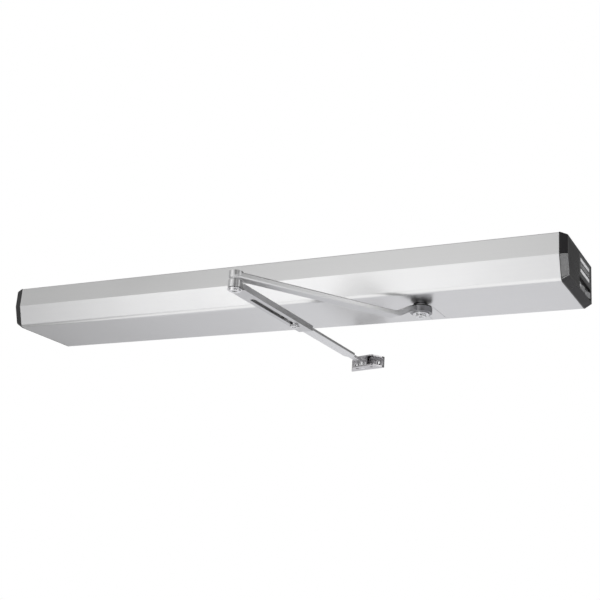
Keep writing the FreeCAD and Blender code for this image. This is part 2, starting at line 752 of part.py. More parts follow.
# Rocker switches in the bay: the body is fixed, the rocker tilts about an upright pin
def make_switch(name, label, place, length, tilt):
    floor = half_length + s.capDepth - s.bayDepth
    pivot = floor - s.bezelLip
    window = switch_window(place, length)
    gap = s.fitGap
    half = length / 2
    tall = s.rockerWidth / 2
    trunnion = s.bezelLip / 2
    frame = fuse(name + "Frame", [
        block(name + "Bezel", (floor, floor + s.bezelLip),
              (-place - half - s.bezelLip * 2, -place + half + s.bezelLip * 2),
              (-s.switchDrop - tall - s.bezelLip * 1.4, -s.switchDrop + tall + s.bezelLip * 1.4)),
        block(name + "Case", (floor - s.switchBodyDepth, floor),
              (window[0][0] + gap, window[0][1] - gap), (window[1][0] + gap, window[1][1] - gap))])
    body = cut(name + "Body", frame, [
        block(name + "Cavity", (pivot - half / 2, floor + s.bezelLip + 1),
              (-place - half - gap, -place + half + gap),
              (-s.switchDrop - tall - gap, -s.switchDrop + tall + gap)),
        rod(name + "Socket", "z", trunnion + s.runGap, (pivot, -place),
            -s.switchDrop - tall - trunnion, -s.switchDrop + tall + trunnion)])
    keep(body, label + "_switch")
    paddle = new_body(name + "Paddle")
    sketch = new_sketch(paddle, "XY", -tall)
    lift = s.bezelLip + s.bayDepth * 0.8
    reach = half - gap * 3
    draw_outline(sketch, [
        (-s.bezelLip, -reach * 0.7), (lift * 0.35, -reach), (lift, -reach), (lift * 0.6, 0),
        (lift, reach), (lift * 0.35, reach), (-s.bezelLip, reach * 0.7)])
    pad(paddle, sketch, s.rockerWidth)
    rocker = fuse(name + "Rocker", [
        paddle, rod(name + "Pin", "z", trunnion, (0, 0), -tall - trunnion + gap / 3,
                    tall + trunnion - gap / 3)])
    turn(rocker, tilt)
    shift(rocker, pivot, -place, -s.switchDrop)
    keep(rocker, label + "_rocker")


# Closer body: cast block bored for the rack piston and crossed by the spindle
bore_z = (s.closerHigh - s.closerLow) / 2
bore_radius = s.pistonRadius + s.runGap
closer_back = spindle_y + s.closerHalfDepth
bolt_rise = bore_radius + s.boltRadius * 0.3
pinion_teeth = 10
pinion_pitch = s.rackModule * pinion_teeth / 2
pinion_tip = pinion_pitch + s.rackModule
rack_tip = pinion_pitch - s.rackModule * 0.55
rack_root = pinion_pitch + s.rackModule * 1.15
ear_radius = s.caseWall * 2.5
case_low = s.closerHigh
case_top = case_low + s.caseHeight
case_screw_radius = s.axleRadius * 0.64


def make_closer_body():
    body = new_body("CloserBody")
    section = new_sketch(body, "YZ", closer_left)
    draw_outline(section, rectangle((spindle_y - s.closerHalfDepth, closer_back),
                                    (-s.closerLow, s.closerHigh)))
    pad(body, section, closer_right - closer_left)
    dress(body, "Fillet", s.closerRound, lambda edge: is_straight(edge, X_AXIS)
          and edge.BoundBox.YMax < spindle_y.value)
    bore = new_sketch(body, "YZ", closer_left - 1)
    draw_circle(bore, (spindle_y, bore_z), bore_radius)
    pad(body, bore, closer_right - closer_left + 2, True, True)
    pocket = new_sketch(body, "XY", s.closerHigh + 1)
    draw_circle(pocket, (spindle_x, spindle_y), pinion_tip + s.fitGap * 2)
    pad(body, pocket, s.closerHigh + s.closerLow + 2, False, True)
    upper = new_sketch(body, "XY", s.closerHigh)
    draw_circle(upper, (spindle_x, spindle_y), s.bearingRadius)
    pad(body, upper, s.bearingWidth, False, True)
    lower = new_sketch(body, "XY", -s.closerLow)
    draw_circle(lower, (spindle_x, spindle_y), s.bearingRadius)
    pad(body, lower, s.bearingWidth, True, True)
    bolts = new_sketch(body, "XZ", s.spindleOut - s.closerHalfDepth)
    for left in spacer_lefts:
        for z in (bore_z - bolt_rise, bore_z + bolt_rise):
            draw_circle(bolts, (left + s.spacerWidth / 2, z), s.boltRadius + s.runGap)
    pad(body, bolts, s.closerHalfDepth * 0.4, True, True)
    screws = new_sketch(body, "XY", s.closerHigh)
    for place in ear_places:
        draw_circle(screws, place, case_screw_radius + s.runGap)
    pad(body, screws, s.caseHeight / 2, False, True)
    return keep(body, "closer_body")


def spacer(name, left):
    wall = s.spacerWall
    shell = block(name + "Shell", (left, left + s.spacerWidth), (closer_back, -s.plateWall),
                  (-s.spacerLow, s.spacerHigh))
    tools = [block(name + "Hollow", (left + wall, left + s.spacerWidth - wall),
                   (closer_back + wall, -s.plateWall - wall), (-s.spacerLow - 1, s.spacerHigh + 1))]
    middle = left + s.spacerWidth / 2
    for x, z in spacer_bolt_places():
        if abs(x.value - middle.value) < 1:
            tools.append(rod(name + "RearHole", "y", s.boltRadius + s.runGap, (x, z),
                             -s.plateWall - wall - 1, 0))
    for z in (bore_z - bolt_rise, bore_z + bolt_rise):
        tools.append(rod(name + "FrontHole", "y", s.boltRadius + s.runGap, (middle, z),
                         closer_back - 1, closer_back + wall + 1))
    return cut(name, shell, tools)


def make_bolt(name, x, z, seat, tip):
    """A socket head bolt along Y with its head on the seat plane, pointing to the tip."""
    towards_wall = tip.value > seat.value
    head_end = seat - s.boltHeadThick if towards_wall else seat + s.boltHeadThick
    head = sorted((seat, head_end), key=lambda item: item.value)
    shank = sorted((seat, tip), key=lambda item: item.value)
    key = sorted((head_end, head_end + (s.boltHeadThick / 2 if towards_wall else -s.boltHeadThick / 2)),
                 key=lambda item: item.value)
    socket = doc.addObject("Part::Prism", name + "Socket")
    socket.Polygon = 6
    bind(socket, "Circumradius", s.boltRadius)
    bind(socket, "Height", key[1] - key[0])
    socket.Placement = FreeCAD.Placement(Vector(0, 0, 0), TURNS["y"])
    shift(socket, x, key[0], z)
    return cut(name, fuse(name + "Blank", [
        rod(name + "Head", "y", s.boltHead, (x, z), *head),
        rod(name + "Shank", "y", s.boltRadius, (x, z), *shank)]),
        [socket])


def make_bolts():
    bolts = []
    for x, z in spacer_bolt_places():
        bolts.append(make_bolt("BracketBolt", x, z, -s.plateWall - s.spacerWall, dim(-0.2)))
    for left in spacer_lefts:
        for z in (bore_z - bolt_rise, bore_z + bolt_rise):
            bolts.append(make_bolt("CloserBolt", left + s.spacerWidth / 2, z, closer_back + s.spacerWall,
                                   closer_back - s.closerHalfDepth * 0.35))
    return keep(group("MountingBolts", bolts), "closer_mounting_bolts")


# Gears: involute flanks drawn by chords, which stay inside the true tooth
PRESSURE_ANGLE = math.radians(20)
TOOTH_BACKLASH = 0.06


def gear_wire(module, teeth, addendum, phase, dedendum=1.2):
    """The outline of a spur gear round the origin with one tooth centred on the phase angle (radians)."""
    pitch = module * teeth / 2
    base = pitch * math.cos(PRESSURE_ANGLE)
    tip = pitch + addendum * module
    foot = pitch - dedendum * module
    involute = math.tan(PRESSURE_ANGLE) - PRESSURE_ANGLE
    half_tooth = (math.pi * module / 2 - 2 * TOOTH_BACKLASH) / (2 * pitch)
    start = max(base, foot)
    flank = []
    for radius in (start, (start + pitch) / 2 if base < pitch * 0.97 else pitch, tip):
        roll = math.acos(min(1, base / radius))
        flank.append((radius, half_tooth + involute - (math.tan(roll) - roll)))
    if foot < start:
        flank.insert(0, (foot, flank[0][1]))
    points = []
    for tooth in range(teeth):
        middle = phase + tooth * 2 * math.pi / teeth
        for radius, angle in flank:
            points.append(Vector(radius * math.cos(middle - angle), radius * math.sin(middle - angle), 0))
        for radius, angle in reversed(flank):
            points.append(Vector(radius * math.cos(middle + angle), radius * math.sin(middle + angle), 0))
    points.append(points[0])
    return Part.makePolygon(points)


def gear_blank(name, module, teeth, addendum, phase, low, high):
    """A Part::Feature holding the toothed disc; its module and heights are read from the sheet."""
    face = Part.Face(gear_wire(module.value, teeth, addendum, phase))
    item = doc.addObject("Part::Feature", name)
    item.Shape = face.extrude(Vector(0, 0, dim(high).value - dim(low).value))
    item.Placement = FreeCAD.Placement(Vector(0, 0, dim(low).value), FreeCAD.Rotation())
    return item


gear_teeth = 60
gear_pinion_teeth = 10
wheel_teeth = 48
motor_pinion_teeth = 10
gear_spacing = s.gearModule * (gear_teeth + gear_pinion_teeth) / 2
wheel_spacing = s.wheelModule * (wheel_teeth + motor_pinion_teeth) / 2
train_turn = math.radians(s.trainTurn.value)
motor_turn = math.radians(s.motorTurn.value)


def along(start, length, turn_angle):
    """A point at a distance in a plan direction given by a cell."""
    cosine = Dim(f"cos({turn_angle.text})", math.cos(math.radians(turn_angle.value)))
    sine = Dim(f"sin({turn_angle.text})", math.sin(math.radians(turn_angle.value)))
    return start[0] + length * cosine, start[1] + length * sine


spindle_place = (spindle_x, spindle_y)
axle_place = along(spindle_place, gear_spacing, s.trainTurn)
motor_place = along(axle_place, wheel_spacing, s.motorTurn)
gear_low = case_low + s.caseFloor + s.fitGap * 2
gear_high = gear_low + s.gearFace
wheel_low = gear_high + s.fitGap * 4
wheel_high = wheel_low + s.wheelFace
gear_tip = gear_spacing * gear_teeth / (gear_teeth + gear_pinion_teeth) + s.gearModule * 0.55
wheel_tip = wheel_spacing * wheel_teeth / (wheel_teeth + motor_pinion_teeth) + s.wheelModule * 0.55
motor_pinion_tip = s.wheelModule * (motor_pinion_teeth / 2 + 1)
ear_reach = s.caseRoom + s.caseWall + ear_radius * 0.4
ear_places = [
    along(spindle_place, gear_tip + ear_reach, s.earTurn),
    along(spindle_place, gear_tip + ear_reach, -s.earTurn),
    along(spindle_place, gear_tip + ear_reach, s.leftEarTurn),
    along(axle_place, wheel_tip + ear_reach, s.leftEarTurn)]


def make_spindle():
    journal = s.journalRadius
    shaft = revolve("SpindleShaft", [
        (0, -s.hubLow), (s.seatRadius, -s.hubLow), (s.seatRadius, s.fitGap - s.hubTop),
        (journal, s.fitGap - s.hubTop), (journal, s.closerHigh), (s.seatRadius, s.closerHigh + s.fitGap),
        (s.seatRadius, gear_high + s.fitGap * 3), (s.axleRadius * 2, gear_high + s.fitGap * 3),
        (s.axleRadius * 2, case_top - s.caseFloor), (0, case_top - s.caseFloor)])
    teeth = gear_blank("SpindleTeeth", s.rackModule, pinion_teeth, 1, -math.pi / 2,
                       bore_z - s.pinionHalfFace, bore_z + s.pinionHalfFace)
    tapped = rod("SpindleTapped", "z", s.axleRadius * 1.6 + s.runGap, (0, 0), -s.hubLow - 1, -s.hubLow + 16)
    spindle = cut("Spindle", fuse("SpindleBlank", [shaft, teeth]), [tapped])
    shift(spindle, *spindle_place)
    return keep(spindle, "spindle")


def make_spindle_gear():
    teeth = gear_blank("SpindleGearTeeth", s.gearModule, gear_teeth, 0.55, train_turn, gear_low, gear_high)
    tools = [rod("SpindleGearBore", "z", s.seatRadius + s.runGap / 2, (0, 0), gear_low - 1, gear_high + 1)]
    for number in range(6):
        angle = math.pi * number / 3
        reach = gear_spacing * 0.52
        tools.append(rod("SpindleGearHole", "z", s.seatRadius,
                         (reach * math.cos(angle), reach * math.sin(angle)),
                         gear_low - 1, gear_high + 1))
    gear = cut("SpindleGear", teeth, tools)
    shift(gear, *spindle_place)
    keep(gear, "spindle_gear")
    clip = cut("GearClip", rod("GearClipDisc", "z", s.seatRadius + s.axleRadius, (0, 0), gear_high,
                               gear_high + 1),
               [rod("GearClipBore", "z", s.seatRadius + s.runGap / 2, (0, 0), gear_high - 1, gear_high + 2)])
    shift(clip, *spindle_place)
    keep(clip, "gear_retaining_ring")


def make_intermediate():
    """One compound gear on a fixed axle: the large wheel above its pinion."""
    pinion = gear_blank("IntermediatePinionTeeth", s.gearModule, gear_pinion_teeth, 1,
                        train_turn + math.pi - math.pi / gear_pinion_teeth, gear_low, wheel_low)
    wheel = gear_blank("IntermediateWheelTeeth", s.wheelModule, wheel_teeth, 0.55, motor_turn, wheel_low,
                       wheel_high)
    tools = [rod("IntermediateBore", "z", s.axleRadius + s.runGap, (0, 0), gear_low - 1, wheel_high + 1)]
    for number in range(5):
        angle = 2 * math.pi * number / 5
        reach = wheel_spacing * 0.5
        tools.append(rod("IntermediateHole", "z", s.axleRadius * 1.4,
                         (reach * math.cos(angle), reach * math.sin(angle)), wheel_low - 1, wheel_high + 1))
    gear = cut("IntermediateGear", fuse("IntermediateBlank", [pinion, wheel]), tools)
    shift(gear, *axle_place)
    keep(gear, "intermediate_gear")
    keep(rod("IntermediateAxle", "z", s.axleRadius, axle_place, case_low, case_top), "intermediate_axle")


def make_motor():
    radius = s.motorRadius
    wall = s.motorWall
    roof = case_low
    low = -s.motorLow
    can = revolve("MotorCan", [
        (s.axleRadius + s.runGap, roof), (radius, roof), (radius, low), (radius - wall, low),
        (radius - wall, roof - wall * 2), (s.axleRadius + s.runGap, roof - wall * 2)])
    shift(can, *motor_place)
    keep(can, "motor_can")
    stator = revolve("MotorStator", [
        (radius * 0.6, low + wall * 5), (radius - wall - s.runGap, low + wall * 5),
        (radius - wall - s.runGap, roof - wall * 5), (radius * 0.6, roof - wall * 5)])
    slot = new_sketch(stator, "XY", roof)
    draw_outline(slot, rectangle((radius * 0.5, radius * 0.84), (-radius * 0.09, radius * 0.09)))
    slots = pad(stator, slot, s.motorLow + roof, False, True)
    ring(stator, slots, 9)
    shift(stator, *motor_place)
    keep(stator, "motor_stator")
    rotor = cut("MotorRotor", rod("MotorRotorDisc", "z", radius * 0.57, (0, 0), low + wall * 5,
                                  roof - wall * 5),
                [rod("MotorRotorBore", "z", s.axleRadius + s.runGap / 2, (0, 0), low, roof)])
    shift(rotor, *motor_place)
    keep(rotor, "motor_rotor")
    bell = cut("MotorEndBell", rod("MotorEndBellDisc", "z", radius - wall - s.runGap, (0, 0), low,
                                   low + wall * 2),
               [rod("MotorEndBellBore", "z", s.axleRadius + s.runGap, (0, 0), low + wall, low + wall * 3)])
    shift(bell, *motor_place)
    keep(bell, "motor_end_bell")
    shaft = fuse("MotorShaft", [
        rod("MotorShaftRod", "z", s.axleRadius, (0, 0), low + wall + s.fitGap, wheel_high),
        gear_blank("MotorPinionTeeth", s.wheelModule, motor_pinion_teeth, 1,
                   motor_turn + math.pi - math.pi / motor_pinion_teeth, wheel_low, wheel_high)])
    shift(shaft, *motor_place)
    keep(shaft, "motor_pinion_shaft")


def case_lobes(name, extra, low, high):
    """The plan shape of the gear case: one round lobe for each gear, grown by an amount."""
    return [
        rod(name + "Gear", "z", gear_tip + s.caseRoom + extra, spindle_place, low, high),
        rod(name + "Wheel", "z", wheel_tip + s.caseRoom + extra, axle_place, low, high),
        rod(name + "Motor", "z", motor_pinion_tip + s.caseRoom + extra, motor_place, low, high)]


def make_gear_case():
    floor = case_low + s.caseFloor
    ears = [rod("CaseEar", "z", ear_radius, place, case_low, case_top) for place in ear_places]
    flange = rod("CaseMotorFlange", "z", s.motorRadius, motor_place, case_low, floor)
    solid = fuse("CaseSolid", case_lobes("CaseOuter", s.caseWall, case_low, case_top) + ears + [flange])
    tools = case_lobes("CaseInner", 0, floor, case_top + 1)
    tools.append(rod("CaseSpindleHole", "z", s.seatRadius + s.fitGap * 2, spindle_place, case_low - 1,
                     floor + 1))
    tools.append(rod("CaseMotorHole", "z", s.axleRadius * 1.4, motor_place, case_low - 1, floor + 1))
    tools.append(rod("CaseAxleHole", "z", s.axleRadius, axle_place, case_low - 1, floor + 1))
    for place in ear_places:
        tools.append(rod("CaseEarHole", "z", case_screw_radius + s.runGap, place, case_low - 1, case_top + 1))
    keep(cut("GearCase", solid, tools), "gear_case")
    lid_top = case_top + s.caseFloor
    lid = fuse("LidSolid", case_lobes("Lid", s.caseWall, case_top, lid_top) + [
        rod("LidEar", "z", ear_radius, place, case_top, lid_top) for place in ear_places])
    holes = [rod("LidEarHole", "z", case_screw_radius + s.runGap, place, case_top - 1, lid_top + 1)
             for place in ear_places]
    holes.append(rod("LidSpindleHole", "z", s.axleRadius * 2 + s.fitGap * 2, spindle_place, case_top - 1,
                     lid_top + 1))
    keep(cut("GearCaseLid", lid, holes), "gear_case_lid")
    screws = []
    for place in ear_places:
        screws.append(fuse("CaseScrew", [
            rod("CaseScrewHead", "z", case_screw_radius * 2, place, lid_top, lid_top + case_screw_radius),
            rod("CaseScrewShank", "z", case_screw_radius, place, case_low - s.caseHeight / 2 + 1, lid_top)]))
    keep(group("CaseScrews", screws), "gear_case_screws")
    room = s.axleRadius * 4
    keep(block(
        "EncoderBoard", (spindle_x - room, spindle_x + room), (spindle_y - room, spindle_y + room),
        (lid_top, lid_top + s.boardThick)), "encoder_board")


def bearing(name, low):
    """A sealed bearing as one ring with a shallow groove on each face where the seals sit."""
    inner = s.journalRadius + s.runGap
    outer = s.bearingRadius
    seal_in = inner + (outer - inner) * 0.25
    seal_out = inner + (outer - inner) * 0.75
    high = low + s.bearingWidth
    dip = s.fitGap
    body = revolve(name, [
        (inner, low), (seal_in, low), (seal_in, low + dip), (seal_out, low + dip), (seal_out, low),
        (outer, low),
        (outer, high), (seal_out, high), (seal_out, high - dip), (seal_in, high - dip), (seal_in, high),
        (inner, high)])
    shift(body, *spindle_place)
    return body


# Rack piston, closing spring and plugs
rack_pitch = s.rackModule * math.pi
rack_first = -rack_pitch
rack_spaces = 7
slot_left = -(pinion_tip + s.fitGap * 2)
slot_right = pinion_tip + s.fitGap * 2 + s.pistonTravel + s.rackModule
piston_left = slot_left - s.pistonHead
piston_right = slot_right + s.pistonHead


def make_piston():
    body = new_body("RackPiston")
    section = new_sketch(body, "YZ", piston_left)
    draw_circle(section, (0, bore_z), s.pistonRadius)
    pad(body, section, piston_right - piston_left)
    reach = bore_z + s.pistonRadius + 1
    slot = new_sketch(body, "XY", reach)
    draw_outline(slot, rectangle((slot_left, slot_right), (-rack_tip, pinion_tip + s.fitGap)))
    pad(body, slot, s.pistonRadius * 2 + 2, False, True)
    space = new_sketch(body, "XY", reach)
    slope = math.tan(PRESSURE_ANGLE)
    half_pitch = rack_pitch / 4 + TOOTH_BACKLASH
    wide = half_pitch + (pinion_pitch - rack_tip + 1) * slope
    narrow = half_pitch - (rack_root - pinion_pitch) * slope
    draw_outline(space, [
        (rack_first - wide, 1 - rack_tip), (rack_first - narrow, -rack_root),
        (rack_first + narrow, -rack_root), (rack_first + wide, 1 - rack_tip)])
    first_space = pad(body, space, s.pistonRadius * 2 + 2, False, True)
    pattern(body, first_space, space, "H_Axis", rack_pitch * (rack_spaces - 1), rack_spaces)
    shift(body, *spindle_place)
    return keep(body, "rack_piston")


def coil_solid(radius, wire, start, end, turns, sides, steps):
    """A closed spring along X made of flat facets, so that it stays light."""
    rings = []
    count = turns * steps
    for index in range(count + 1):
        angle = 2 * math.pi * index / steps
        centre = Vector(start + (end - start) * index / count, radius * math.cos(angle),
                        radius * math.sin(angle))
        outward = Vector(0, math.cos(angle), math.sin(angle))
        rings.append([centre + outward * (wire * math.cos(2 * math.pi * k / sides))
                      + X_AXIS * (wire * math.sin(2 * math.pi * k / sides)) for k in range(sides)])
    faces = []
    for here, after in zip(rings, rings[1:]):
        for k in range(sides):
            a, b, c, d = here[k], here[(k + 1) % sides], after[(k + 1) % sides], after[k]
            for corner in ((a, b, c), (a, c, d)):
                faces.append(Part.Face(Part.makePolygon(list(corner) + [corner[0]])))
    for end_ring in (rings[0], rings[-1]):
        faces.append(Part.Face(Part.makePolygon(end_ring + [end_ring[0]])))
    solid = Part.Solid(Part.Shell(faces))
    if solid.Volume < 0:
        solid.reverse()
    return solid


spring_start = closer_left + s.adjusterLength
spring_end = spindle_x + piston_left


def make_spring():
    item = doc.addObject("Part::Feature", "ClosingSpring")
    item.Shape = coil_solid(
        s.springRadius.value - s.springWire.value, s.springWire.value,
        spring_start.value + s.springWire.value + s.fitGap.value,
        spring_end.value - s.springWire.value - s.fitGap.value,
        13, 6, 12)
    item.Placement = FreeCAD.Placement(Vector(0, spindle_y.value, bore_z.value), FreeCAD.Rotation())
    return keep(item, "closing_spring")


def make_plugs():
    place = (spindle_y, bore_z)
    adjuster = cut("SpringAdjuster", rod(
        "AdjusterBlank", "x", s.pistonRadius, place, closer_left, closer_left + s.adjusterLength),
        [rod("AdjusterSocket", "x", s.pistonRadius / 3, place, closer_left - 1,
             closer_left + s.adjusterLength / 3),
         rod("AdjusterThread", "x", s.pistonRadius / 2, place, closer_left + s.adjusterLength * 0.6,
             closer_left + s.adjusterLength + 1)])
    keep(adjuster, "spring_adjuster")
    plug = cut("EndPlug", rod("PlugBlank", "x", s.pistonRadius, place, closer_right - s.plugLength,
                              closer_right),
               [rod("PlugSocket", "x", s.pistonRadius / 3, place, closer_right - s.plugLength / 2,
                    closer_right + 1)])
    keep(plug, "end_plug")


# Main arm: cranked bar from the hub under the spindle to the elbow boss
washer_radius = s.hubRadius * 0.74


def make_main_arm():
    side = new_body("ArmSide")
    sketch = new_sketch(side, "XZ", -s.hubRadius * 1.2)
    low = s.armTop + s.armThick
    crown = s.hubTop + 1
    draw_outline(sketch, [
        (0, -crown), (s.neckStart, -crown), (s.neckEnd, -s.armTop),
        (s.armReach + s.elbowRadius * 2, -s.armTop),
        (s.armReach + s.elbowRadius * 2, -low), (s.neckEnd - s.armThick * 0.7, -low),
        (s.neckStart - s.armThick * 0.7, -s.hubLow), (0, -s.hubLow)])
    pad(side, sketch, s.hubRadius * 2.4)
    bends = {s.neckStart.value: -crown.value, s.neckEnd.value: -s.armTop.value,
             (s.neckEnd - s.armThick * 0.7).value: -low.value,
             (s.neckStart - s.armThick * 0.7).value: -s.hubLow.value}
    dress(side, "Fillet", s.neckRound, lambda edge: is_straight(edge, Y_AXIS) and any(
        abs(edge.BoundBox.XMin - x) < 0.01 and abs(edge.BoundBox.ZMin - z) < 0.01 for x, z in bends.items()))
    plan = new_body("ArmPlan")
    outline = new_sketch(plan, "XY", -low - 1)
    tip = s.armHalfTip
    draw_outline(
        outline,
        [(0, -s.armHalfRoot * 1.15), (s.armReach, -tip), (s.armReach, tip), (0, s.armHalfRoot * 1.15)],
        {1: ((s.armReach, 0), tip, (1, 0))})
    pad(plan, outline, low - s.hubTop + 2)
    bar = doc.addObject("Part::Common", "ArmBar")
    bar.Base = side
    bar.Tool = plan
    doc.recompute()
    bevelled = doc.addObject("Part::Chamfer", "ArmBevelled")
    bevelled.Base = bar
    longest = s.armReach.value * 0.7
    long_edges = [i for i, edge in enumerate(bar.Shape.Edges, start=1) if edge.Length > longest]
    bevelled.Edges = [(i, s.armBevel.value, s.armBevel.value) for i in long_edges]
    blank = fuse("ArmBlank", [
        bevelled,
        rod("ArmHub", "z", s.hubRadius, (0, 0), -s.hubLow, -s.hubTop),
        rod("ArmBoss", "z", s.elbowRadius, (s.armReach, 0), -s.elbowStep, -s.elbowTop),
        rod("ArmBossTaper", "z", s.elbowNeck, (s.armReach, 0), -s.elbowLow, -s.elbowStep, s.elbowRadius)])
    arm = cut("MainArm", blank, [
        rod("ArmSpindleBore", "z", s.seatRadius + s.runGap / 2, (0, 0), -low, -s.hubTop + 1),
        rod("ArmWasherRoom", "z", washer_radius + s.fitGap, (0, 0), -low, -s.hubLow),
        rod("ArmStudBore", "z", s.studRadius + s.runGap / 2, (s.armReach, 0), -s.elbowLow - 1,
            -s.elbowTop - 2)])
    turn(arm, s.armAngle)
    shift(arm, *spindle_place)
    return keep(arm, "main_arm")


def hex_socket(name, radius, low, high, place=(0, 0)):
    socket = doc.addObject("Part::Prism", name)
    socket.Polygon = 6
    bind(socket, "Circumradius", radius)
    bind(socket, "Height", dim(high) - low)
    shift(socket, place[0], place[1], low)
    return socket


def make_hub_screw():
    radius = s.axleRadius * 1.6
    collar = s.hubLow + 2
    end = s.hubLow + 6
    washer = cut("HubWasher", rod("HubWasherDisc", "z", washer_radius, (0, 0), -collar, -s.hubLow),
                 [rod("HubWasherBore", "z", radius + s.runGap, (0, 0), -collar - 1, -s.hubLow + 1)])
    shift(washer, *spindle_place)
    keep(washer, "hub_washer")
    screw = cut("HubScrew", fuse("HubScrewBlank", [
        rod("HubScrewShank", "z", radius, (0, 0), -collar, -s.hubLow + 14),
        rod("HubScrewHead", "z", radius * 2, (0, 0), -end, -collar)]),
        [hex_socket("HubScrewSocket", radius, -end - 1, -collar - 1)])
    shift(screw, *spindle_place)
    keep(screw, "hub_screw")


elbow_place = along(spindle_place, s.armReach, s.armAngle)
shoe_place = along(elbow_place, s.forearmReach, s.forearmAngle)


def make_elbow_stud():
    seat = s.knuckleLow + s.fitGap
    end = seat + s.headThick
    stud = cut("ElbowStud", fuse("ElbowStudBlank", [
        rod("ElbowStudShank", "z", s.studRadius, (0, 0), -seat, -s.elbowTop - 2),
        rod("ElbowStudHead", "z", s.studHead, (0, 0), -end, -seat)]),
        [hex_socket("ElbowStudSocket", s.studRadius * 0.8, -end - 1, -end + s.headThick * 0.7)])
    shift(stud, *elbow_place)
    return keep(stud, "elbow_screw")


# Forearm: slotted channel outside, flat bar inside, held by a clamp screw
channel_half = s.barHalfWidth + s.fitGap + s.channelWall
floor_top = -s.channelLow + s.channelFloor
bar_low = floor_top + s.fitGap
bar_high = bar_low + s.barThick
channel_roof = -s.channelTop - s.channelWall


def place_forearm(item):
    turn(item, s.forearmAngle)
    shift(item, *elbow_place)


def make_forearm_channel():
    body = new_body("ChannelProfile")
    start = s.elbowRadius * 0.6
    inner = s.barHalfWidth + s.fitGap
    section = new_sketch(body, "YZ", start)
    draw_outline(section, rectangle((-channel_half, channel_half), (-s.channelLow, -s.channelTop)))
    draw_outline(section, rectangle((-inner, inner), (floor_top, channel_roof)))
    pad(body, section, s.channelLength - start)
    slot = new_sketch(body, "XY", -s.channelLow - 1)
    draw_slot(slot, (s.slotStart, 0), (s.slotEnd, 0), s.slotHalfWidth)
    pad(body, slot, s.channelFloor + 2, True, True)
    web = block("ChannelWeb", (start, s.elbowRadius * 1.9), (-inner - s.fitGap, inner + s.fitGap),
                (floor_top - s.fitGap, channel_roof + s.fitGap))
    knuckle = rod("ChannelKnuckle", "z", s.elbowRadius, (0, 0), -s.knuckleLow, -s.elbowLow - s.fitGap)
    arm = cut("ForearmChannel", fuse("ChannelBlank", [body, web, knuckle]), [
        rod("ChannelHeadRoom", "z", s.studHead + s.fitGap * 2, (0, 0), -s.channelLow - 1, -s.knuckleLow),
        rod("ChannelBore", "z", s.studRadius + s.runGap, (0, 0), -s.channelLow - 1, -s.elbowLow + 1)])
    place_forearm(arm)
    return keep(arm, "forearm_channel")


def make_forearm_bar():
    body = new_body("BarProfile")
    outline = new_sketch(body, "XY", bar_low)
    neck = s.forearmReach - s.barNeck
    shoulder = neck - s.barShoulder
    draw_outline(outline, [
        (s.barStart, -s.barHalfWidth), (shoulder, -s.barHalfWidth), (neck, -s.barNeckHalf),
        (s.forearmReach, -s.barNeckHalf), (s.forearmReach, s.barNeckHalf), (neck, s.barNeckHalf),
        (shoulder, s.barHalfWidth), (s.barStart, s.barHalfWidth)])
    pad(body, outline, s.barThick)
    barrel = rod("BarBarrel", "z", s.eyeRadius, (s.forearmReach, 0), -s.shoeLow + s.shoeSheet + s.fitGap,
                 -s.shoeTop - s.shoeSheet - s.fitGap)
    bar = cut("ForearmBar", fuse("BarBlank", [body, barrel]), [
        rod("BarEye", "z", s.shoePinRadius + s.runGap, (s.forearmReach, 0), -s.shoeLow, -s.shoeTop),
        rod("BarClampHole", "z", s.pressNutRadius + s.runGap / 2, (s.clampPlace, 0), bar_low - 1,
            bar_high + 1)])
    place_forearm(bar)
    return keep(bar, "forearm_bar")


def make_clamp():
    head_top = -s.channelLow - s.fitGap
    head_low = head_top - s.clampHeadThick
    place = (s.clampPlace, 0)
    screw = cut("ClampScrew", fuse("ClampScrewBlank", [
        rod("ClampShank", "z", s.clampRadius, place, head_top, bar_high),
        rod("ClampHeadDisc", "z", s.clampHead, place, head_low, head_top)]),
        [hex_socket("ClampSocket", s.clampRadius * 0.9, head_low - 1, head_low + s.clampHeadThick * 0.6,
                    place)])
    place_forearm(screw)
    keep(screw, "clamp_screw")
    nut = cut("ClampNut", rod("ClampNutBlank", "z", s.pressNutRadius, place, bar_low, bar_high),
              [rod("ClampNutBore", "z", s.clampRadius + s.runGap / 2, place, bar_low - 1, bar_high + 1)])
    place_forearm(nut)
    keep(nut, "clamp_nut")


# Shoe: folded bracket screwed to the door, turning on its pin
def shoe_flange_points():
    """The flanges in plan, from their left end at the door round to their right end."""
    left = s.shoeCentre - s.shoeHalfWidth
    right = s.shoeCentre + s.shoeHalfWidth
    back = s.shoePinPlace
    front = back - s.shoeDepth
    return [
        (left, back), (left, back - s.shoeBack), (-s.shoeFrontLeft, front + s.shoeBack),
        (s.shoeFrontRight, front), (right, back - s.shoeBack * 2), (right, back)]


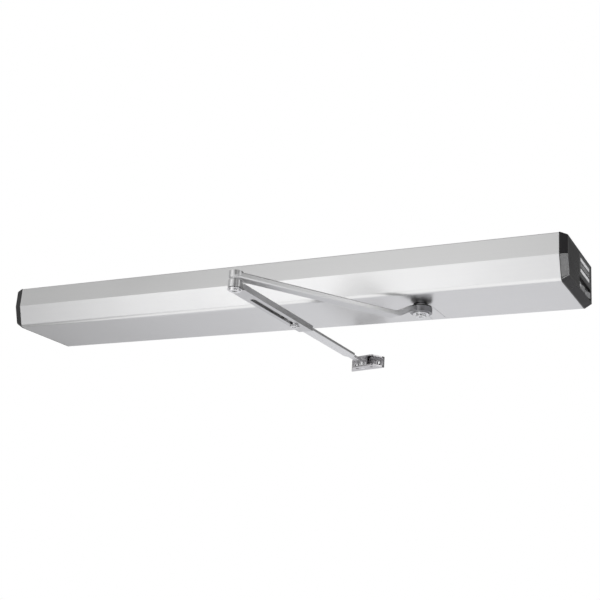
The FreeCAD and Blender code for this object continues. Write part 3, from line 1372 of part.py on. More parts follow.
def make_shoe():
    body = new_body("Shoe")
    solid = new_sketch(body, "XY", -s.shoeLow)
    draw_outline(solid, shoe_flange_points())
    pad(body, solid, s.shoeLow - s.shoeTop)
    dress(body, "Fillet", s.shoeRound, lambda edge: is_straight(edge, Z_AXIS)
          and edge.BoundBox.YMax < (s.shoePinPlace - s.shoeBack / 2).value)
    throat = new_sketch(body, "YZ", -s.shoeHalfWidth * 2)
    draw_outline(throat, rectangle(
        (s.shoePinPlace - s.shoeDepth - 1, s.shoePinPlace - s.shoeBack),
        (-s.shoeLow + s.shoeSheet, -s.shoeTop - s.shoeSheet)))
    pad(body, throat, s.shoeHalfWidth * 4, True, True)
    pin_hole = new_sketch(body, "XY", -s.shoeTop + 1)
    draw_circle(pin_hole, (0, 0), s.shoePinRadius + s.runGap / 2)
    for x in (-s.shoeHalfWidth * 0.37, s.shoeHalfWidth * 0.51):
        draw_circle(pin_hole, (s.shoeCentre + x, -s.shoeSheet), s.shoeHoleRadius)
    pad(body, pin_hole, s.shoeLow - s.shoeTop + 2, False, True)
    door_holes = new_sketch(body, "XZ", -s.shoePinPlace + s.shoeBack + 1)
    for x in (s.shoeCentre - s.shoeHoleSide, s.shoeCentre + s.shoeHoleSide):
        draw_circle(door_holes, (x, -(s.shoeTop + s.shoeLow) / 2), s.shoeHoleRadius)
    pad(body, door_holes, s.shoeBack + 2, False, True)
    turn(body, s.shoeAngle)
    shift(body, *shoe_place)
    keep(body, "shoe")
    pin = rod("ShoePin", "z", s.shoePinRadius, (0, 0), -s.shoeLow, -s.shoeTop)
    shift(pin, shoe_place[0], shoe_place[1], -s.shoeLow)
    keep(pin, "shoe_pin")


# Control unit, power supply and mains parts
board_back = -s.plateWall - s.trayWall - s.boardGap
board_front = board_back - s.boardThick


def make_control_unit():
    half = s.controlHalfHeight
    wall = s.trayWall
    left = control_left
    right = control_right
    inset = s.boardGap
    base = block("TrayBase", (left, right), (-s.plateWall - wall, -s.plateWall), (-half, half))
    posts = []
    for x in (left + inset, right - inset):
        for z in (-half + inset, half - inset):
            posts.append(rod("TrayPost", "y", wall * 2, (x, z), board_back, -s.plateWall - wall / 2))
    keep(fuse("ControlTray", [base] + posts), "control_tray")
    margin = wall + s.fitGap
    keep(block("ControlBoard", (left + margin, right - margin), (board_front, board_back),
               (margin - half, half - margin)),
         "control_board")
    tall = s.controlDepth - s.boardGap * 2
    width = right - left
    capacitors = []
    for k in range(3):
        capacitors.append(rod("Capacitor", "y", s.boardGap * 0.7,
                              (left + width * (0.1 + 0.09 * k), half * 0.35),
                              board_front - tall * 0.8, board_front))
    relays = []
    for k in range(3):
        low = left + width * (0.4 + 0.1 * k)
        relays.append(block("Relay", (low, low + width * 0.08), (board_front - tall * 0.4, board_front),
                            (0, half * 0.8)))
    keep(group("BoardComponents", capacitors + relays), "board_components")
    sink_left = left + width * 0.74
    fins = [block("SinkBase", (sink_left, left + width * 0.94), (board_front - wall, board_front),
                  (0, half * 0.8))]
    for k in range(7):
        low = sink_left + width * 0.03 * k
        fins.append(block("SinkFin", (low, low + wall * 0.7),
                          (board_front - tall * 0.5, board_front - wall / 2), (0, half * 0.8)))
    keep(fuse("HeatSink", fins), "heat_sink")
    blocks = []
    for k in range(3):
        low = left + width * (0.08 + 0.3 * k)
        blocks.append(block("TerminalBlock", (low, low + width * 0.22),
                            (board_front - tall * 0.35, board_front),
                            (margin - half, -half * 0.5)))
    keep(group("TerminalBlocks", blocks), "terminal_blocks")
    lid_front = -s.controlDepth
    shell = block("ControlCoverShell", (left, right), (lid_front, -s.plateWall - wall), (-half, half))
    room = block("ControlCoverRoom", (left + wall, right - wall), (lid_front + wall, 1),
                 (wall - half, half - wall))
    window = block("ControlCoverWindow", (left + wall * 4, right - wall * 4),
                   (lid_front - 1, board_front - tall * 0.35),
                   (-half - 1, -half * 0.5))
    keep(cut("ControlCover", shell, [room, window]), "control_cover")


def make_power_supply():
    half = s.supplyHalfHeight
    wall = s.trayWall
    left = supply_left
    right = supply_right
    back = -s.plateWall
    pan = cut("SupplyPan", block("SupplyTrayBlank", (left, right), (-s.supplyDepth / 2, back), (-half, half)),
               [block("SupplyTrayRoom", (left + wall, right - wall), (-s.supplyDepth, back - wall),
                      (wall - half, half - wall))])
    board = back - wall - wall * 2
    keep(block("SupplyBoard", (left + wall * 2, right - wall * 2), (board - s.boardThick, board),
               (wall * 2 - half, half - wall * 2)), "power_supply_board")
    legs = []
    for x in (left + wall * 4, right - wall * 4):
        for z in (wall * 4 - half, half - wall * 4):
            legs.append(rod("SupplyLeg", "y", wall, (x, z), board, back - wall))
    keep(fuse("SupplyTray", [pan] + legs), "power_supply_tray")
    front = board - s.boardThick
    width = right - left
    core = block("TransformerCore", (left + width * 0.4, left + width * 0.66),
                 (front - s.supplyDepth * 0.5, front),
                 (-half * 0.5, half * 0.5))
    winding = rod("TransformerWinding", "y", half * 0.62, (left + width * 0.53, 0),
                  front - s.supplyDepth * 0.4,
                  front - s.supplyDepth * 0.1)
    keep(fuse("Transformer", [core, winding]), "transformer")
    lid = cut("SupplyCover", block("SupplyCoverBlank", (left, right), (-s.supplyDepth, -s.supplyDepth / 2),
                                   (-half, half)),
              [block("SupplyCoverRoom", (left + wall, right - wall), (wall - s.supplyDepth, 0),
                     (wall - half, half - wall))]
              + [block("SupplyVent", (left + width * (0.12 + 0.09 * k), left + width * (0.16 + 0.09 * k)),
                       (-s.supplyDepth - 1, -s.supplyDepth + wall + 1),
                       (-half * 0.6, half * 0.6)) for k in range(9)])
    keep(lid, "power_supply_cover")


def make_mains():
    back = -s.plateWall
    left = half_length - s.mainsInset
    width = s.mainsWidth
    body = block("MainsBlank", (left, left + width), (back - width / 2, back), (-width / 4, width / 4))
    wells = [rod("MainsWell", "y", width / 14, (left + width * (k + 0.5) / 4, -width / 8 + width / 4 * row),
                 back - width, back - width / 4) for k in range(4) for row in (0, 1)]
    keep(cut("MainsBlock", body, wells), "mains_terminal_block")
    length = s.fuseLength
    fuse_left = half_length - s.fuseInset
    ends = (fuse_left + length / 10, fuse_left + length * 0.9)
    height = -half_height / 2
    holder = cut(
        "FuseHolder",
        block("FuseBlank", (fuse_left, fuse_left + length), (back - length / 2, back),
              (height - length / 5, height + length / 5)),
        [block("FuseTrough", ends, (back - length, back - length / 5),
               (height - length / 10, height + length / 10))])
    keep(holder, "fuse_holder")
    keep(rod("Fuse", "x", length / 12, (back - length / 5 - length / 12, height), *ends), "fuse")


# Build
make_cover()
make_slot_insert()
make_back_plate()
make_grommet()
make_bracket("end_bracket_left", -1)
make_bracket("end_bracket_right", 1)
make_cap("end_cap_left", -1)
make_cap("end_cap_right", 1)
make_label_plate()
make_cap_screws()
make_switch("Program", "program", s.programPlace, s.programLength, dim(0))
make_switch("Power", "power", s.powerPlace, s.powerLength, -s.rockerTilt)
make_closer_body()
keep(group("Spacers", [
    spacer("SpacerLeft", spacer_lefts[0]), spacer("SpacerRight", spacer_lefts[1])]), "closer_spacers")
make_bolts()
keep(group("SpindleBearings", [
    bearing("BearingUpper", s.closerHigh - s.bearingWidth), bearing("BearingLower", -s.closerLow)]),
    "spindle_bearings")
make_spindle()
make_spindle_gear()
make_intermediate()
make_motor()
make_gear_case()
make_piston()
make_spring()
make_plugs()
make_main_arm()
make_hub_screw()
make_elbow_stud()
make_forearm_channel()
make_forearm_bar()
make_clamp()
make_shoe()
make_control_unit()
make_power_supply()
make_mains()
doc.recompute()

# Check everything, then write one file for each node
for item in doc.Objects:
    if "Invalid" in item.State or "Error" in item.State:
        raise RuntimeError(f"{item.Name} failed: {item.State}")
os.makedirs("parts", exist_ok=True)
for item in nodes:
    if item.Shape.isNull() or not item.Shape.isValid():
        raise RuntimeError(f"{item.Label} has no valid shape")
for item in nodes:
    item.Shape.exportStep(f"parts/{item.Label}.step")
    print(item.Label, len(item.Shape.Solids), round(item.Shape.Volume, 1))
print(len(nodes), "nodes")
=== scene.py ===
import json
import math
import bmesh
import bpy
from mathutils import Matrix, Vector
from mathutils.bvhtree import BVHTree


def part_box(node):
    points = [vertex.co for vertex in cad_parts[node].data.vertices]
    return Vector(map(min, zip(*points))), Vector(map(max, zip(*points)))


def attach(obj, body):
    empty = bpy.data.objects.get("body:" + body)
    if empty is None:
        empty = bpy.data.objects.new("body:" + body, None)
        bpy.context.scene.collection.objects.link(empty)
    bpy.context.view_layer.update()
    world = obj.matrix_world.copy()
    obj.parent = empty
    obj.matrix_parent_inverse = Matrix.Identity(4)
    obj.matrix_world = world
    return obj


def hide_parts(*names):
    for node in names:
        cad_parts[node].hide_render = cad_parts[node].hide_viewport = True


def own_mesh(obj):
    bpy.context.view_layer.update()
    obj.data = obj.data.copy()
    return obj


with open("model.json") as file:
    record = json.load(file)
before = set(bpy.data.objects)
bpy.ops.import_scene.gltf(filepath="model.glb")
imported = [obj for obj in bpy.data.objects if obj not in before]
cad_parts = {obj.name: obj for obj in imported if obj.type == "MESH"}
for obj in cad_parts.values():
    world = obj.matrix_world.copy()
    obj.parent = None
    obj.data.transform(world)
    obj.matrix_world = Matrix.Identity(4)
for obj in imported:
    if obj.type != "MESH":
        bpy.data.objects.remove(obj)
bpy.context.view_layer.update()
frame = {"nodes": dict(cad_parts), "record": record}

cadNodes = frame["nodes"]
nodeBody = {name: body for body, names in frame["record"]["behaviour"]["bodies"].items() for name in names}
mm = 0.001
print("frame loaded:", len(cadNodes), "nodes")

# Camera: low and to the right of the housing, looking up at it
cameraView = {
    "azimuth": 28.46,
    "elevation": -17.227,
    "roll": 4.134,
    "distance": 1.787349,
    "target": (0.040767, -0.065, -0.004229),
    "lens": 64.331,
    "sensor": 36,
    "clip": (0.05, 60),
}


def makeCamera(view):
    azimuth, elevation, roll = (math.radians(view[k]) for k in ("azimuth", "elevation", "roll"))
    back = Vector((math.sin(azimuth) * math.cos(elevation), -math.cos(azimuth) * math.cos(elevation),
                   math.sin(elevation)))
    right = (-back).cross(Vector((0, 0, 1))).normalized()
    up = right.cross(-back)
    rolledRight = right * math.cos(roll) + up * math.sin(roll)
    rolledUp = up * math.cos(roll) - right * math.sin(roll)
    data = bpy.data.cameras.new("photoCamera")
    data.lens = view["lens"]
    data.sensor_width = view["sensor"]
    data.clip_start, data.clip_end = view["clip"]
    camera = bpy.data.objects.new("photoCamera", data)
    axes = Matrix((rolledRight, rolledUp, back)).transposed().to_4x4()
    camera.matrix_world = Matrix.Translation(Vector(view["target"]) + back * view["distance"]) @ axes
    bpy.context.scene.collection.objects.link(camera)
    bpy.context.scene.camera = camera


makeCamera(cameraView)
bpy.context.scene.view_settings.view_transform = "Standard"

# Studio: white surroundings, soft boxes, grey cards that only reflections see
studio = {
    "floorHeight": -0.78,
    "floorSize": 40,
    "floorColour": (0.90, 0.90, 0.93, 1),
    "floorFade": (2.6, 7.0),
    "dayLight": 0.80,
    "boxes": {
        "frontBox": {"at": (-1.05, -2.2, -0.35), "aim": (0.0, -0.1, 0.0),
                     "size": (1.5, 1.5), "power": 7},
        "topBox": {"at": (0.3, -1.2, 2.2), "aim": (0.1, -0.1, 0.0),
                   "size": (1.6, 1.2), "power": 7},
        "capBox": {"at": (0.95, -2.2, -0.74), "aim": (0.5, -0.1, 0.0),
                   "size": (0.9, 0.5), "power": 17,
                   "only": ("end_cap_left", "end_cap_right", "program_rocker", "power_rocker")},
        "noseBox": {"at": (0.60, -0.70, -0.74), "aim": (0.50, -0.14, -0.03),
                    "size": (0.5, 0.26), "power": 9,
                    "only": ("end_cap_left", "end_cap_right")},
        "coverBox": {"at": (2.10, -2.1, 0.95), "aim": (0.0, -0.06, 0.03),
                     "size": (1.8, 0.9), "power": 2.6,
                     "only": ("cover",)},
        "armBox": {"at": (-1.45, -2.3, 0.70), "aim": (0.09, -0.35, -0.07),
                   "size": (1.1, 0.8), "power": 3.0,
                   "only": ("main_arm", "forearm_channel", "forearm_bar", "elbow_screw")},
    },
    "cards": {
        "frontGlow": {"at": (-1.20, -2.4, -0.55), "normal": (0, 1, 0),
                      "size": (1.8, 0.46), "shade": 1.64},
        "frontGlowHigh": {"at": (-1.20, -2.4, 0.15), "normal": (0, 1, 0),
                          "size": (1.8, 0.94), "shade": 1.04},
        "frontGlowRight": {"at": (0.05, -2.4, -0.08), "normal": (0, 1, 0),
                           "size": (0.7, 1.4), "shade": 0.88},
        "frontGlowLeft": {"at": (-2.70, -2.4, -0.08), "normal": (0, 1, 0),
                          "size": (1.2, 1.4), "shade": 0.48},
        "frontCard": {"at": (-0.55, -2.5, 1.70), "normal": (0, 1, 0),
                      "size": (1.9, 2.1), "shade": 0.81},
        "frontCardLeft": {"at": (-2.60, -2.5, 1.70), "normal": (0, 1, 0),
                          "size": (2.2, 2.1), "shade": 0.51},
        "frontDark": {"at": (0.85, -2.6, 1.30), "normal": (0, 1, 0),
                      "size": (1.3, 2.6), "shade": 0.02},
        "frontDarkLow": {"at": (2.00, -2.6, 0.10), "normal": (0, 1, 0),
                         "size": (1.1, 1.6), "shade": 0.02},
        "rightDark": {"at": (3.05, -2.45, 0.15), "normal": (-1, 0, 0),
                      "size": (1.5, 1.6), "shade": 0.02},
        "ceilingCard": {"at": (-0.6, -1.9, 2.8), "normal": (0, 0, -1),
                        "size": (7.0, 2.6), "shade": 0.55},
        "ceilingDark": {"at": (-0.6, 1.1, 2.8), "normal": (0, 0, -1),
                        "size": (7.0, 3.4), "shade": 0.08},
        "leftCard": {"at": (-3.3, -0.6, 0.2), "normal": (1, 0, 0),
                     "size": (5.0, 3.2), "shade": 0.55},
        "rightCard": {"at": (3.05, 0.95, 0.9), "normal": (-1, 0, 0),
                      "size": (5.3, 3.4), "shade": 0.04},
        "rightLight": {"at": (3.0, -0.14, 0.9), "normal": (-1, 0, 0),
                       "size": (0.96, 2.0), "shade": 1.60},
        "backCard": {"at": (1.7, 2.7, 0.7), "normal": (-0.3, -1, 0),
                     "size": (2.9, 3.4), "shade": 0.22},
        "backTopCard": {"at": (-1.4, 2.8, 1.8), "normal": (0, -1, 0),
                        "size": (4.0, 2.6), "shade": 0.62},
        "backLeftCard": {"at": (-3.2, 3.0, -0.1), "normal": (0.3, -1, 0),
                         "size": (2.6, 1.4), "shade": 0.36},
        "floorGlow": {"at": (-0.15, -0.75, -0.77), "normal": (0, 0, 1),
                      "size": (1.6, 1.5), "shade": 1.15},
        "floorShade": {"at": (-1.80, -0.2, -0.76), "normal": (0, 0, 1),
                       "size": (1.7, 2.0), "shade": 0.34},
        "floorDark": {"at": (0.95, 1.4, -0.765), "normal": (0, 0, 1),
                      "size": (1.1, 1.4), "shade": 0.20},
        "floorShadeBack": {"at": (-2.85, 2.0, -0.76), "normal": (0, 0, 1),
                           "size": (2.0, 2.4), "shade": 0.30},
    },
}


def newMaterial(name):
    material = bpy.data.materials.new(name)
    material.use_nodes = True
    material.node_tree.nodes.clear()
    return material, material.node_tree


def addNode(tree, kind, inputs=None, **settings):
    node = tree.nodes.new(kind)
    for key, value in settings.items():
        setattr(node, key, value)
    for key, value in (inputs or {}).items():
        socket = node.inputs[key]
        if isinstance(value, bpy.types.NodeSocket):
            tree.links.new(value, socket)
        else:
            socket.default_value = value
    return node


# 1 for the rays that show a surface: from the camera, a mirror or through glass
def looks(tree, path):
    seen = addNode(tree, "ShaderNodeMath",
                   {0: path.outputs["Is Camera Ray"], 1: path.outputs["Is Glossy Ray"]},
                   operation="MAXIMUM")
    seen = addNode(tree, "ShaderNodeMath", {0: seen.outputs[0], 1: path.outputs["Is Transmission Ray"]},
                   operation="MAXIMUM")
    return seen.outputs[0]


def makeWorld():
    world = bpy.data.worlds.new("studio")
    bpy.context.scene.world = world
    world.use_nodes = True
    tree = world.node_tree
    tree.nodes.clear()
    path = addNode(tree, "ShaderNodeLightPath")
    lighting = addNode(tree, "ShaderNodeBackground", {"Color": (1, 1, 1, 1), "Strength": studio["dayLight"]})
    shown = addNode(tree, "ShaderNodeBackground", {"Color": (1, 1, 1, 1), "Strength": 1.0})
    mixed = addNode(tree, "ShaderNodeMixShader",
                    {0: looks(tree, path), 1: lighting.outputs[0], 2: shown.outputs[0]})
    addNode(tree, "ShaderNodeOutputWorld", {"Surface": mixed.outputs[0]})


# Collections of the lamps that light only some pieces, by node name
litGroups = {}


def makeBoxes():
    for name, box in studio["boxes"].items():
        data = bpy.data.lights.new(name, "AREA")
        data.shape = "RECTANGLE"
        data.size, data.size_y = box["size"]
        data.energy = box["power"]
        lamp = bpy.data.objects.new(name, data)
        lamp.location = box["at"]
        aim = Vector(box["aim"]) - Vector(box["at"])
        lamp.rotation_euler = aim.to_track_quat("-Z", "Y").to_euler()
        lamp.visible_camera = False
        if "only" in box:
            lit = bpy.data.collections.new(name + "Lit")
            lamp.light_linking.receiver_collection = lit
            for nodeName in box["only"]:
                litGroups.setdefault(nodeName, []).append(lit)
        else:
            lamp.visible_glossy = False
        bpy.context.scene.collection.objects.link(lamp)


def planeObject(name, at, normal, size):
    mesh = bpy.data.meshes.new(name)
    turn = Vector(normal).to_track_quat("Z", "Y").to_matrix()
    corners = [Vector((x * size[0] / 2, y * size[1] / 2, 0))
               for x, y in ((-1, -1), (1, -1), (1, 1), (-1, 1))]
    mesh.from_pydata([turn @ corner + Vector(at) for corner in corners], [], [(0, 1, 2, 3)])
    plane = bpy.data.objects.new(name, mesh)
    bpy.context.scene.collection.objects.link(plane)
    return plane


# Matt near the object, white far away, and clear when the camera is below it
def makeFloor():
    side = studio["floorSize"]
    floor = planeObject("studioFloor", (0, 0, studio["floorHeight"]), (0, 0, 1), (side, side))
    material, tree = newMaterial("paleFloor")
    path = addNode(tree, "ShaderNodeLightPath")
    geometry = addNode(tree, "ShaderNodeNewGeometry")
    place = addNode(tree, "ShaderNodeTexCoord").outputs["Object"]
    distance = addNode(tree, "ShaderNodeVectorMath", {0: place}, operation="LENGTH")
    fadeFrom, fadeTo = studio["floorFade"]
    far = addNode(tree, "ShaderNodeMapRange", {"Value": distance.outputs["Value"], "From Min": fadeFrom,
                                               "From Max": fadeTo}, interpolation_type="SMOOTHSTEP")
    lookedAt = looks(tree, path)
    fade = addNode(tree, "ShaderNodeMath", {0: far.outputs[0], 1: lookedAt}, operation="MULTIPLY")
    matt = addNode(tree, "ShaderNodeBsdfDiffuse", {"Color": studio["floorColour"]})
    white = addNode(tree, "ShaderNodeEmission", {"Color": (1, 1, 1, 1), "Strength": 1.0})
    paint = addNode(tree, "ShaderNodeMixShader",
                    {0: fade.outputs[0], 1: matt.outputs[0], 2: white.outputs[0]})
    fromBelow = addNode(tree, "ShaderNodeMath",
                        {0: path.outputs["Is Camera Ray"], 1: geometry.outputs["Backfacing"]},
                        operation="MULTIPLY")
    clear = addNode(tree, "ShaderNodeBsdfTransparent")
    mixed = addNode(tree, "ShaderNodeMixShader",
                    {0: fromBelow.outputs[0], 1: paint.outputs[0], 2: clear.outputs[0]})
    addNode(tree, "ShaderNodeOutputMaterial", {"Surface": mixed.outputs[0]})
    floor.data.materials.append(material)


def makeCards():
    for name, card in studio["cards"].items():
        plane = planeObject(name, card["at"], card["normal"], card["size"])
        plane.visible_camera = False
        plane.visible_diffuse = False
        plane.visible_shadow = False
        material, tree = newMaterial(name + "Grey")
        shade = card["shade"]
        glow = addNode(tree, "ShaderNodeEmission", {"Color": (shade, shade, shade, 1), "Strength": 1.0})
        addNode(tree, "ShaderNodeOutputMaterial", {"Surface": glow.outputs[0]})
        plane.data.materials.append(material)


makeWorld()
makeBoxes()
makeFloor()
makeCards()
print("studio ready")


# Shader groups: effects that several finishes share
def makeGroup(name, inputs, output):
    tree = bpy.data.node_groups.new(name, "ShaderNodeTree")
    tree.interface.new_socket("Vector", in_out="INPUT", socket_type="NodeSocketVector")
    for socketName, kind, value in inputs:
        socket = tree.interface.new_socket(socketName, in_out="INPUT", socket_type="NodeSocket" + kind)
        socket.default_value = value
    tree.interface.new_socket(output, in_out="OUTPUT", socket_type="NodeSocketFloat")
    given = tree.nodes.new("NodeGroupInput").outputs
    result = tree.nodes.new("NodeGroupOutput").inputs
    return tree, given, result


# Long fine lines that a die or a brush leaves along one direction
def makeDrawLines():
    tree, given, result = makeGroup("drawLines", [("Stretch", "Vector", (2.0, 260.0, 260.0))], "Height")
    place = addNode(tree, "ShaderNodeVectorMath", {0: given["Vector"], 1: given["Stretch"]},
                    operation="MULTIPLY")
    lines = addNode(tree, "ShaderNodeTexNoise", {"Vector": place.outputs[0], "Scale": 1.0, "Detail": 3.0,
                                                 "Roughness": 0.6})
    tree.links.new(lines.outputs["Fac"], result["Height"])
    return tree


# Broad faint patches from handling
def makeHandling():
    tree, given, result = makeGroup("handling", [("Patch Scale", "Float", 6.0)], "Patches")
    patches = addNode(tree, "ShaderNodeTexNoise", {"Vector": given["Vector"], "Scale": given["Patch Scale"],
                                                   "Detail": 3.0, "Roughness": 0.5})
    tree.links.new(patches.outputs["Fac"], result["Patches"])
    return tree


# Shallow irregular relief of a cast, moulded or plated surface
def makeSkin():
    tree, given, result = makeGroup("skin", [("Scale", "Float", 500.0), ("Flow", "Float", 0.3)], "Height")
    grain = addNode(tree, "ShaderNodeTexVoronoi", {"Vector": given["Vector"], "Scale": given["Scale"]})
    waves = addNode(tree, "ShaderNodeTexNoise", {"Vector": given["Vector"], "Scale": 60.0, "Detail": 3.0})
    both = addNode(tree, "ShaderNodeMath",
                   {0: waves.outputs["Fac"], 1: given["Flow"], 2: grain.outputs["Distance"]},
                   operation="MULTIPLY_ADD")
    tree.links.new(both.outputs[0], result["Height"])
    return tree


groups = {"drawLines": makeDrawLines(), "handling": makeHandling(), "skin": makeSkin()}

# What the finishes of one family share: patch scale, spread of the roughness, depth of the relief in metres.
# With metals 0.04 smoother a faint swirl showed on the cover.
families = {
    "metal": {"metallic": 1.0, "patchScale": 6.0, "smoother": 0.015, "rougher": 0.05, "depth": 0.0002},
    "plastic": {"metallic": 0.0, "patchScale": 14.0, "smoother": 0.05, "rougher": 0.06, "depth": 0.0003},
}
patchSpread = (0.25, 0.75)
patchShare = 0.35


def useGroup(tree, name, inputs):
    return addNode(tree, "ShaderNodeGroup", inputs, node_tree=groups[name]).outputs[0]


def blendColour(tree, mask, low, high):
    blend = addNode(tree, "ShaderNodeMix", {"Factor": mask}, data_type="RGBA")
    for side, colour in (("A", low), ("B", high)):
        if isinstance(colour, bpy.types.NodeSocket):
            tree.links.new(colour, blend.inputs[side])
        else:
            blend.inputs[side].default_value = (*colour, 1)
    return blend.outputs["Result"]


def finishSurface(tree, family, colour, patches, rough, height, relief):
    roughness = addNode(tree, "ShaderNodeMapRange", {
        "Value": patches, "From Min": patchSpread[0], "From Max": patchSpread[1],
        "To Min": rough - family["smoother"], "To Max": rough + family["rougher"]})
    bump = addNode(tree, "ShaderNodeBump",
                   {"Height": height, "Strength": relief, "Distance": family["depth"]})
    shader = addNode(tree, "ShaderNodeBsdfPrincipled", {
        "Base Color": colour, "Roughness": roughness.outputs[0], "Metallic": family["metallic"],
        "Normal": bump.outputs["Normal"]})
    addNode(tree, "ShaderNodeOutputMaterial", {"Surface": shader.outputs[0]})


# A metal with its own grain: lines is a stretch of the drawn lines, skin a scale of the cast relief.
# shaded darkens it round one point, where the photo has the hub in shade.
def metalFinish(name, dark, light, rough, relief, lines=None, skin=None, shaded=None):
    family = families["metal"]
    material, tree = newMaterial(name)
    place = addNode(tree, "ShaderNodeTexCoord").outputs["Object"]
    patches = useGroup(tree, "handling", {"Vector": place, "Patch Scale": family["patchScale"]})
    mask = patches
    if lines:
        height = useGroup(tree, "drawLines", {"Vector": place, "Stretch": lines})
        mixed = addNode(tree, "ShaderNodeMix", {"Factor": patchShare, "A": height, "B": patches})
        mask = mixed.outputs["Result"]
    else:
        height = useGroup(tree, "skin", {"Vector": place, "Scale": skin})
    colour = blendColour(tree, mask, dark, light)
    if shaded:
        away = addNode(tree, "ShaderNodeVectorMath", {0: place, 1: shaded["at"]}, operation="DISTANCE")
        near = addNode(tree, "ShaderNodeMapRange", {
            "Value": away.outputs["Value"], "From Min": shaded["outer"], "From Max": shaded["inner"]})
        colour = blendColour(tree, near.outputs[0], colour, shaded["tone"])
    finishSurface(tree, family, colour, patches, rough, height, relief)
    return material


def plasticFinish(name, dark, light, rough, grain, relief):
    family = families["plastic"]
    material, tree = newMaterial(name)
    place = addNode(tree, "ShaderNodeTexCoord").outputs["Object"]
    patches = useGroup(tree, "handling", {"Vector": place, "Patch Scale": family["patchScale"]})
    height = useGroup(tree, "skin", {"Vector": place, "Scale": grain})
    finishSurface(tree, family, blendColour(tree, patches, dark, light), patches, rough, height, relief)
    return material


metals = {
    "anodised": {"name": "satinAnodised", "dark": (0.735, 0.735, 0.735), "light": (0.765, 0.765, 0.762),
                 "rough": 0.30, "relief": 0.008, "lines": (2.0, 260.0, 260.0)},
    "cast": {"name": "castAluminium", "dark": (0.50, 0.50, 0.51), "light": (0.60, 0.60, 0.61),
             "rough": 0.55, "relief": 0.35, "skin": 700.0},
    "arm_metal": {"name": "silverArm", "dark": (0.60, 0.60, 0.605), "light": (0.69, 0.69, 0.69),
                  "rough": 0.33, "relief": 0.05, "skin": 900.0,
                  "shaded": {"at": (0.265, -0.084, -0.046), "inner": 0.018, "outer": 0.034,
                             "tone": (0.30, 0.30, 0.31)}},
    # A lighter copy of the arm's silver for the forearm bar: painted highlight for its bright face
    "lit_bar_metal": {"name": "litSilverBar", "dark": (0.74, 0.74, 0.745), "light": (0.82, 0.82, 0.82),
                  "rough": 0.30, "relief": 0.05, "skin": 900.0},
    "steel": {"name": "zincSteel", "dark": (0.62, 0.62, 0.63), "light": (0.74, 0.74, 0.74),
              "rough": 0.30, "relief": 0.08, "skin": 500.0},
    "hardened": {"name": "hardenedSteel", "dark": (0.36, 0.36, 0.37), "light": (0.46, 0.46, 0.46),
                 "rough": 0.32, "relief": 0.08, "skin": 600.0},
    # A darker copy of the bright plating for the shoe: painted shade for its dark inside
    "shaded_shoe_plating": {"name": "shadedShoePlating", "dark": (0.50, 0.49, 0.50), "light": (0.60, 0.59, 0.60),
                     "rough": 0.17, "relief": 0.10, "skin": 260.0},
    "chrome": {"name": "brightPlating", "dark": (0.78, 0.78, 0.79), "light": (0.86, 0.86, 0.86),
               "rough": 0.10, "relief": 0.03, "skin": 300.0},
    "copper": {"name": "copperWinding", "dark": (0.60, 0.24, 0.12), "light": (0.74, 0.33, 0.18),
               "rough": 0.30, "relief": 0.5, "lines": (40.0, 40.0, 2600.0)},
    "magnet": {"name": "rotorMagnet", "dark": (0.16, 0.16, 0.17), "light": (0.24, 0.24, 0.25),
               "rough": 0.38, "relief": 0.2, "skin": 450.0},
}
plastics = {
    "black_plastic": {"name": "blackMoulding", "dark": (0.0065, 0.006, 0.0065),
                      "light": (0.010, 0.0095, 0.010), "rough": 0.28, "grain": 1400.0, "relief": 0.04},
    "grey_plastic": {"name": "greyRocker", "dark": (0.20, 0.20, 0.205), "light": (0.26, 0.26, 0.26),
                     "rough": 0.38, "grain": 1500.0, "relief": 0.15},
    "label": {"name": "labelFilm", "dark": (0.050, 0.050, 0.051), "light": (0.062, 0.062, 0.062),
              "rough": 0.32, "grain": 2600.0, "relief": 0.08},
    "rubber": {"name": "softRubber", "dark": (0.018, 0.018, 0.018), "light": (0.030, 0.030, 0.030),
               "rough": 0.70, "grain": 1100.0, "relief": 0.35},
    "board": {"name": "circuitBoard", "dark": (0.010, 0.085, 0.040), "light": (0.016, 0.120, 0.055),
              "rough": 0.35, "grain": 900.0, "relief": 0.12},
    "green_plastic": {"name": "greenTerminal", "dark": (0.02, 0.16, 0.06), "light": (0.03, 0.22, 0.09),
                      "rough": 0.42, "grain": 1300.0, "relief": 0.15},
    "glass": {"name": "fuseGlass", "dark": (0.55, 0.58, 0.58), "light": (0.70, 0.72, 0.72),
              "rough": 0.08, "grain": 200.0, "relief": 0.02},
    "print": {"name": "plainPrint", "dark": (0.84, 0.84, 0.84), "light": (0.92, 0.92, 0.92),
              "rough": 0.45, "grain": 1800.0, "relief": 0.05},
}
finishes = {slotName: metalFinish(**values) for slotName, values in metals.items()}
finishes.update((slotName, plasticFinish(**values)) for slotName, values in plastics.items())
print("finishes ready:", len(finishes))

slotOf = {row["node"]: row["material_slot"] for row in frame["record"]["subparts"]}
for name, node in cadNodes.items():
    node.data.materials.clear()
    node.data.materials.append(finishes[slotOf[name]])

